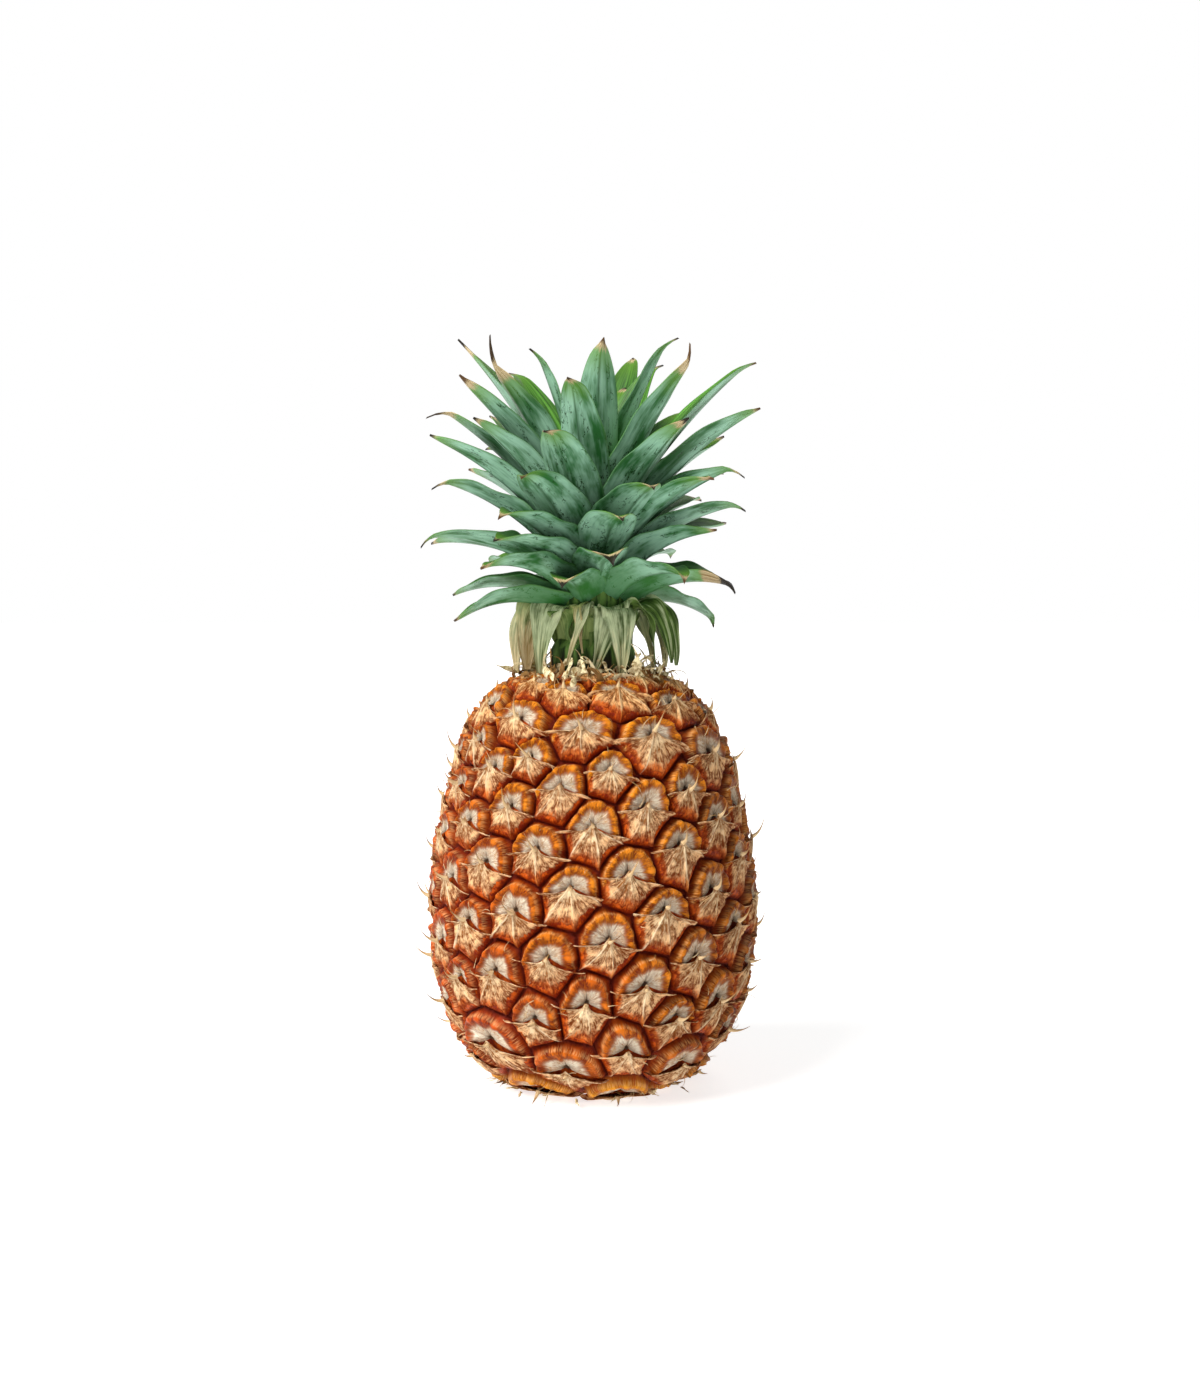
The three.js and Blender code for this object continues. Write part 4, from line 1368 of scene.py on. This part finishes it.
def turned(name, profile, closed, rough):
    """A lathe-turned skin, its radius uneven by up to rough millimetres."""
    profile = np.array(profile, float)
    rows = len(profile)
    angle = np.linspace(0, 2 * math.pi, TURN_SIDES, endpoint=False)
    wobble = 1 + rough * rng.uniform(-1, 1, (rows, TURN_SIDES)) / ROUGH_RADIUS
    ring = outward(angle)[None] * (profile[:, :1] * wobble)[..., None]
    points = ring + UP * profile[:, 1][:, None, None]
    faces = round_faces(TURN_SIDES, rows, closed)
    if not closed:
        faces += cross_faces(TURN_SIDES, rows)
    piece = piece_from(name, points.reshape(-1, 3), faces)
    finish_mesh(piece, outward_normals=True)
    return piece


def stem_material(name, dark, light, fresh=None):
    """Upright fibres between two colours, turning to the pair in fresh towards the leaves."""
    g = Graph(name, roughness=0.8, specular=0.2)
    place = g.object_place()
    upright = g.node("ShaderNodeVectorMath", {"operation": "MULTIPLY"}, {0: place, 1: (1, 1, 0.15)})
    fibre = g.noise(upright, 420, 3.0)
    line = g.step(fibre, 0.35, 0.65)
    color = g.mix(line, dark, light)
    if fresh:
        _, _, height = g.split(place)
        ragged = height + (fibre - 0.5) * 0.016
        color = g.mix(g.step(ragged, 0.160, 0.169), color, g.mix(line, *fresh))
    return g.finish(color, None, fibre, distance=0.5)


def stalk_material():
    """The cut end: pale wet flesh with a ring of bark."""
    g = Graph("stalk", roughness=0.7, specular=0.3)
    place = g.object_place()
    x, y, _ = g.split(place)
    radius = (x * x + y * y).math("SQRT")
    fibre = g.noise(place, 900, 4.0, 0.7)
    flesh = g.mix(g.step(fibre, 0.38, 0.6), rgb(120, 84, 40), rgb(206, 176, 116))
    bark = g.mix(fibre, rgb(60, 36, 16), rgb(132, 90, 44))
    color = g.mix(g.step(radius + (fibre - 0.5) * 0.002, 0.009, 0.011), flesh, bark)
    return g.finish(color, None, fibre, distance=0.5)


# ---- Stage ----
CAMERA_PLACE = (0, -0.6734, 0.1896)
CAMERA_PITCH = math.radians(-3.52)
CAMERA_YAW = math.radians(0.24)
CAMERA_LENS = 44.76
SENSOR_HEIGHT = 36
NEAREST_SEEN = 0.01
AMBIENT = 0.24
FLOOR_SIZE = 20
FLOOR_GREY = (0.6, 0.6, 0.6)
FLOOR_GLOW = 0.72
WHITE = (1, 1, 1)
WARM_WHITE = (1, 0.98, 0.95)
# The three soft lights: strength, degrees round from the camera, degrees up, size in degrees.
KEY_LIGHT = (4.0, -55, 46, 34)
FILL_LIGHT = (0.25, 10, 10, 40)
BACK_LIGHT = (0.6, 150, 50, 30)


def soft_light(name, strength, azimuth, elevation, size, color=WHITE):
    """A far soft box, whose place and size are in degrees."""
    deselect()
    bpy.ops.object.light_add(type="SUN", location=(0, 0, 1))
    light = bpy.context.active_object
    light.name = name
    light.data.energy = strength
    light.data.angle = math.radians(size)
    light.data.color = color
    azimuth, elevation = math.radians(azimuth), math.radians(elevation)
    towards = outward(np.array(azimuth)) * math.cos(elevation) + UP * math.sin(elevation)
    light.rotation_euler = Vector(towards).to_track_quat("Z", "Y").to_euler()


def build_floor(glow):
    deselect()
    bpy.ops.mesh.primitive_plane_add(size=FLOOR_SIZE, location=(0, 0, 0))
    floor = bpy.context.active_object
    floor.name = "floor"
    g = Graph("floor", roughness=0.9, specular=0.0)
    g.feed(g.shader.inputs["Emission Color"], WHITE)
    g.feed(g.shader.inputs["Emission Strength"], glow)
    dress(floor, g.finish(FLOOR_GREY))


def build_camera(settings):
    bpy.ops.object.camera_add(location=settings.camera_place)
    camera = bpy.context.active_object
    camera.name = "camera"
    camera.data.sensor_fit = "VERTICAL"
    camera.data.sensor_height = SENSOR_HEIGHT
    camera.data.lens = settings.camera_lens
    camera.data.clip_start = NEAREST_SEEN
    camera.rotation_euler = (math.pi / 2 + settings.camera_pitch, 0, -settings.camera_yaw)
    bpy.context.scene.camera = camera


def build_surroundings(ambient):
    """White all round, dimmer as a light than as it is seen."""
    world = bpy.data.worlds.new("studio")
    world.use_nodes = True
    tree = world.node_tree
    background = tree.nodes["Background"]
    background.inputs["Color"].default_value = (*WHITE, 1)
    path = tree.nodes.new("ShaderNodeLightPath")
    seen = tree.nodes.new("ShaderNodeMapRange")
    seen.inputs["To Min"].default_value = ambient
    tree.links.new(path.outputs["Is Camera Ray"], seen.inputs["Value"])
    tree.links.new(seen.outputs["Result"], background.inputs["Strength"])
    bpy.context.scene.world = world


def build_stage(settings):
    build_floor(settings.floor_glow)
    build_camera(settings)
    build_surroundings(settings.ambient)
    soft_light("key", settings.key_light, *KEY_LIGHT[1:], WARM_WHITE)
    soft_light("fill", settings.fill_light, *FILL_LIGHT[1:])
    soft_light("back", settings.back_light, *BACK_LIGHT[1:])
    bpy.context.scene.view_settings.view_transform = "Standard"


# ---- What a user can change ----

def a_length(name, description, millimetres):
    return FloatProperty(
        name=name, description=description, default=millimetres * MM, min=0, unit="LENGTH",
        precision=4,
    )


def a_color(name, description, color):
    return FloatVectorProperty(
        name=name, description=description, default=color, min=0, max=1, subtype="COLOR"
    )


def a_light(name, description, strength):
    return FloatProperty(name=name, description=description, default=strength, min=0)


def an_angle(name, description, radians):
    return FloatProperty(name=name, description=description, default=radians, subtype="ANGLE")


def a_count(name, description, count):
    return IntProperty(name=name, description=description, default=count, min=1)


class FruitSettings(bpy.types.PropertyGroup):
    """The fruit's eyes, bracts and spines."""

    golden: a_color("Golden rim", "Lit colour of the eyes' rims near the crown", rgb(234, 140, 24))
    red: a_color("Red rim", "Lit colour of the eyes' rims low on the left", rgb(194, 76, 4))
    groove: a_color("Groove", "Colour at the bottom of the grooves", rgb(96, 18, 0))
    wool: a_color("Wool", "Lit colour of the woolly middle of an eye", rgb(255, 242, 218))
    paper: a_color("Paper", "Lit colour of the papery bracts", rgb(246, 198, 144))
    ridge: a_color("Ridge", "Colour of the bracts' ridges", rgb(246, 226, 188))
    bract_thickness: a_length("Bract thickness", "Thickness of a papery bract", BRACT_THICKNESS)
    shortest_spine: a_length("Shortest spine", "Length of the shortest spine", 3.5)
    longest_spine: a_length("Longest spine", "Length of the longest spine", 9.5)
    hairs: a_count("Hairs", "Dry hairs round each eye", HAIRS_PER_EYE)


class CrownSettings(bpy.types.PropertyGroup):
    """The living leaves and the stem that they grow on."""

    leaf_width: a_length("Leaf width", "Width of the widest leaf", LEAF_WIDTH)
    leaf_thickness: a_length("Leaf thickness", "Thickness of a leaf at its root", LEAF_THICKNESS)
    green: a_color("Green", "Colour of a leaf's back where its wax is thin", rgb(36, 100, 42))
    wax: a_color("Wax", "Colour of a leaf's back under full wax", rgb(160, 208, 180))
    fresh: a_color("Fresh green", "Colour of a young leaf's inner face", rgb(104, 172, 62))
    straw: a_color("Straw", "Colour of a dried leaf end", rgb(222, 204, 162))
    stem: a_color("Stem", "Lit colour of the stem between the leaves", rgb(96, 128, 60))


class WitheredSettings(bpy.types.PropertyGroup):
    """The dead leaves under the crown, and the shreds of them at the neck and the foot."""

    strap_width: a_length("Strap width", "Usual width of a hanging leaf", WITHERED_WIDTH)
    strap_thickness: a_length("Strap thickness", "Thickness of a hanging leaf", WITHERED_THICKNESS)
    grey: a_color("Grey", "Lit colour of a weathered leaf", rgb(202, 212, 168))
    olive: a_color("Olive", "Lit colour of a leaf that has only just died", rgb(102, 132, 58))
    straw: a_color("Straw", "Lit colour of a dry leaf end", rgb(236, 220, 174))
    sleeve: a_color("Sleeve", "Lit colour of the leaf bases round the stem", rgb(74, 76, 34))
    neck_shreds: a_count("Neck shreds", "Shreds round the neck", SHREDS_AT_NECK)
    foot_shreds: a_count("Foot shreds", "Shreds round the foot", SHREDS_AT_FOOT)


class StageSettings(bpy.types.PropertyGroup):
    """The camera, the lights and the floor."""

    camera_place: FloatVectorProperty(
        name="Camera place", description="Where the camera stands", default=CAMERA_PLACE,
        subtype="TRANSLATION", unit="LENGTH", precision=4,
    )
    camera_pitch: an_angle("Camera pitch", "How far up the camera looks", CAMERA_PITCH)
    camera_yaw: an_angle("Camera yaw", "How far to the right the camera looks", CAMERA_YAW)
    camera_lens: FloatProperty(
        name="Lens", description="Focal length of the camera", default=CAMERA_LENS, min=1,
        unit="CAMERA",
    )
    key_light: a_light("Key light", "Strength of the light from the left", KEY_LIGHT[0])
    fill_light: a_light("Fill light", "Strength of the low light from the front", FILL_LIGHT[0])
    back_light: a_light("Back light", "Strength of the light from behind", BACK_LIGHT[0])
    ambient: a_light("Surrounding light", "Strength of the light from all round", AMBIENT)
    floor_glow: a_light("Floor glow", "How much the floor shines to stay white", FLOOR_GLOW)


# ---- Operators ----

class PINEAPPLE_OT_rind(bpy.types.Operator):
    """Builds the skin of the fruit: each eye's rim, its woolly middle and the grooves between"""

    bl_idname = "pineapple.rind"
    bl_label = "Rind"

    def execute(self, context):
        reseed(2)
        material = rind_material(context.scene.pineapple_fruit)
        for half, eyes in halves().items():
            keep(rind_mesh("rind_" + half, eyes), material, "fruit")
        return {"FINISHED"}


class PINEAPPLE_OT_bracts(bpy.types.Operator):
    """Builds the folded papery bract over the lower part of each eye"""

    bl_idname = "pineapple.bracts"
    bl_label = "Bracts"

    def execute(self, context):
        reseed(3)
        settings = context.scene.pineapple_fruit
        material = bract_material(settings)
        for half, eyes in halves().items():
            showing = [eye for eye in eyes if eye.showing]
            piece = bracts_mesh("bracts_" + half, showing, settings.bract_thickness / MM)
            keep(piece, material)
        return {"FINISHED"}


class PINEAPPLE_OT_spines(bpy.types.Operator):
    """Builds the spine over each eye's pit and the fine hairs round the eye"""

    bl_idname = "pineapple.spines"
    bl_label = "Spines and hairs"

    def execute(self, context):
        reseed(4)
        settings = context.scene.pineapple_fruit
        material = spine_material()
        spines = spines_mesh(settings.shortest_spine / MM, settings.longest_spine / MM)
        keep(spines, material)
        keep(hairs_mesh(settings.hairs), material)
        return {"FINISHED"}


class PINEAPPLE_OT_crown(bpy.types.Operator):
    """Builds the living leaves of the crown and the stem that they grow on"""

    bl_idname = "pineapple.crown"
    bl_label = "Crown"

    def execute(self, context):
        reseed(5)
        settings = context.scene.pineapple_crown
        leaves = crown_mesh(settings.leaf_width / MM, settings.leaf_thickness / MM)
        keep(leaves, leaf_material(settings), "crown")
        stem = turned("crown_stem", CROWN_STEM, False, 0.3)
        material = stem_material("stem", STEM_SHADE, settings.stem)
        keep(stem, material, "crown")
        return {"FINISHED"}


class PINEAPPLE_OT_withered(bpy.types.Operator):
    """Builds the dead leaves that hang under the crown, their bases and their shreds"""

    bl_idname = "pineapple.withered"
    bl_label = "Withered leaves"

    def execute(self, context):
        reseed(6)
        settings = context.scene.pineapple_withered
        straps = withered_mesh(settings.strap_width / MM, settings.strap_thickness / MM)
        keep(straps, withered_material(settings), "withered_leaves")
        shreds = shreds_mesh(settings.neck_shreds, settings.foot_shreds)
        keep(shreds, shred_material())
        sleeve = turned("leaf_sleeve", SLEEVE, True, 0.5)
        fresh = (STEM_SHADE, context.scene.pineapple_crown.stem)
        material = stem_material("sleeve", rgb(30, 26, 10), settings.sleeve, fresh)
        keep(sleeve, material, "withered_leaves")
        return {"FINISHED"}


class PINEAPPLE_OT_stalk(bpy.types.Operator):
    """Gives the cut stalk under the fruit its wet flesh and its bark"""

    bl_idname = "pineapple.stalk"
    bl_label = "Stalk"

    def execute(self, context):
        dress(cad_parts["stalk"], stalk_material())
        return {"FINISHED"}


class PINEAPPLE_OT_stage(bpy.types.Operator):
    """Sets up the pale floor, the soft lights and the camera"""

    bl_idname = "pineapple.stage"
    bl_label = "Stage"

    def execute(self, context):
        build_stage(context.scene.pineapple_stage)
        return {"FINISHED"}


class PINEAPPLE_PT_build(bpy.types.Panel):
    """Lists the pieces in the order in which they are built, with what can be changed"""

    bl_label = "Pineapple"
    bl_space_type = "VIEW_3D"
    bl_region_type = "UI"
    bl_category = "Pineapple"

    def draw(self, context):
        scene = context.scene
        self.group(scene.pineapple_fruit, "pineapple.rind", "pineapple.bracts", "pineapple.spines")
        self.group(scene.pineapple_crown, "pineapple.crown")
        self.group(scene.pineapple_withered, "pineapple.withered")
        self.layout.operator("pineapple.stalk")
        self.group(scene.pineapple_stage, "pineapple.stage")

    def group(self, settings, *operators):
        box = self.layout.box()
        for name in operators:
            box.operator(name)
        for name in type(settings).__annotations__:
            box.prop(settings, name)


SETTINGS = {
    "pineapple_fruit": FruitSettings,
    "pineapple_crown": CrownSettings,
    "pineapple_withered": WitheredSettings,
    "pineapple_stage": StageSettings,
}
CLASSES = [
    *SETTINGS.values(),
    PINEAPPLE_OT_rind,
    PINEAPPLE_OT_bracts,
    PINEAPPLE_OT_spines,
    PINEAPPLE_OT_crown,
    PINEAPPLE_OT_withered,
    PINEAPPLE_OT_stalk,
    PINEAPPLE_OT_stage,
    PINEAPPLE_PT_build,
]


def register():
    for kind in CLASSES:
        bpy.utils.register_class(kind)
    for name, group in SETTINGS.items():
        setattr(bpy.types.Scene, name, PointerProperty(type=group))


def unregister():
    for name in SETTINGS:
        delattr(bpy.types.Scene, name)
    for kind in reversed(CLASSES):
        bpy.utils.unregister_class(kind)


def main():
    register()
    bpy.ops.pineapple.rind()
    bpy.ops.pineapple.bracts()
    bpy.ops.pineapple.spines()
    bpy.ops.pineapple.crown()
    bpy.ops.pineapple.withered()
    bpy.ops.pineapple.stalk()
    bpy.ops.pineapple.stage()


if __name__ == "__main__":
    main()
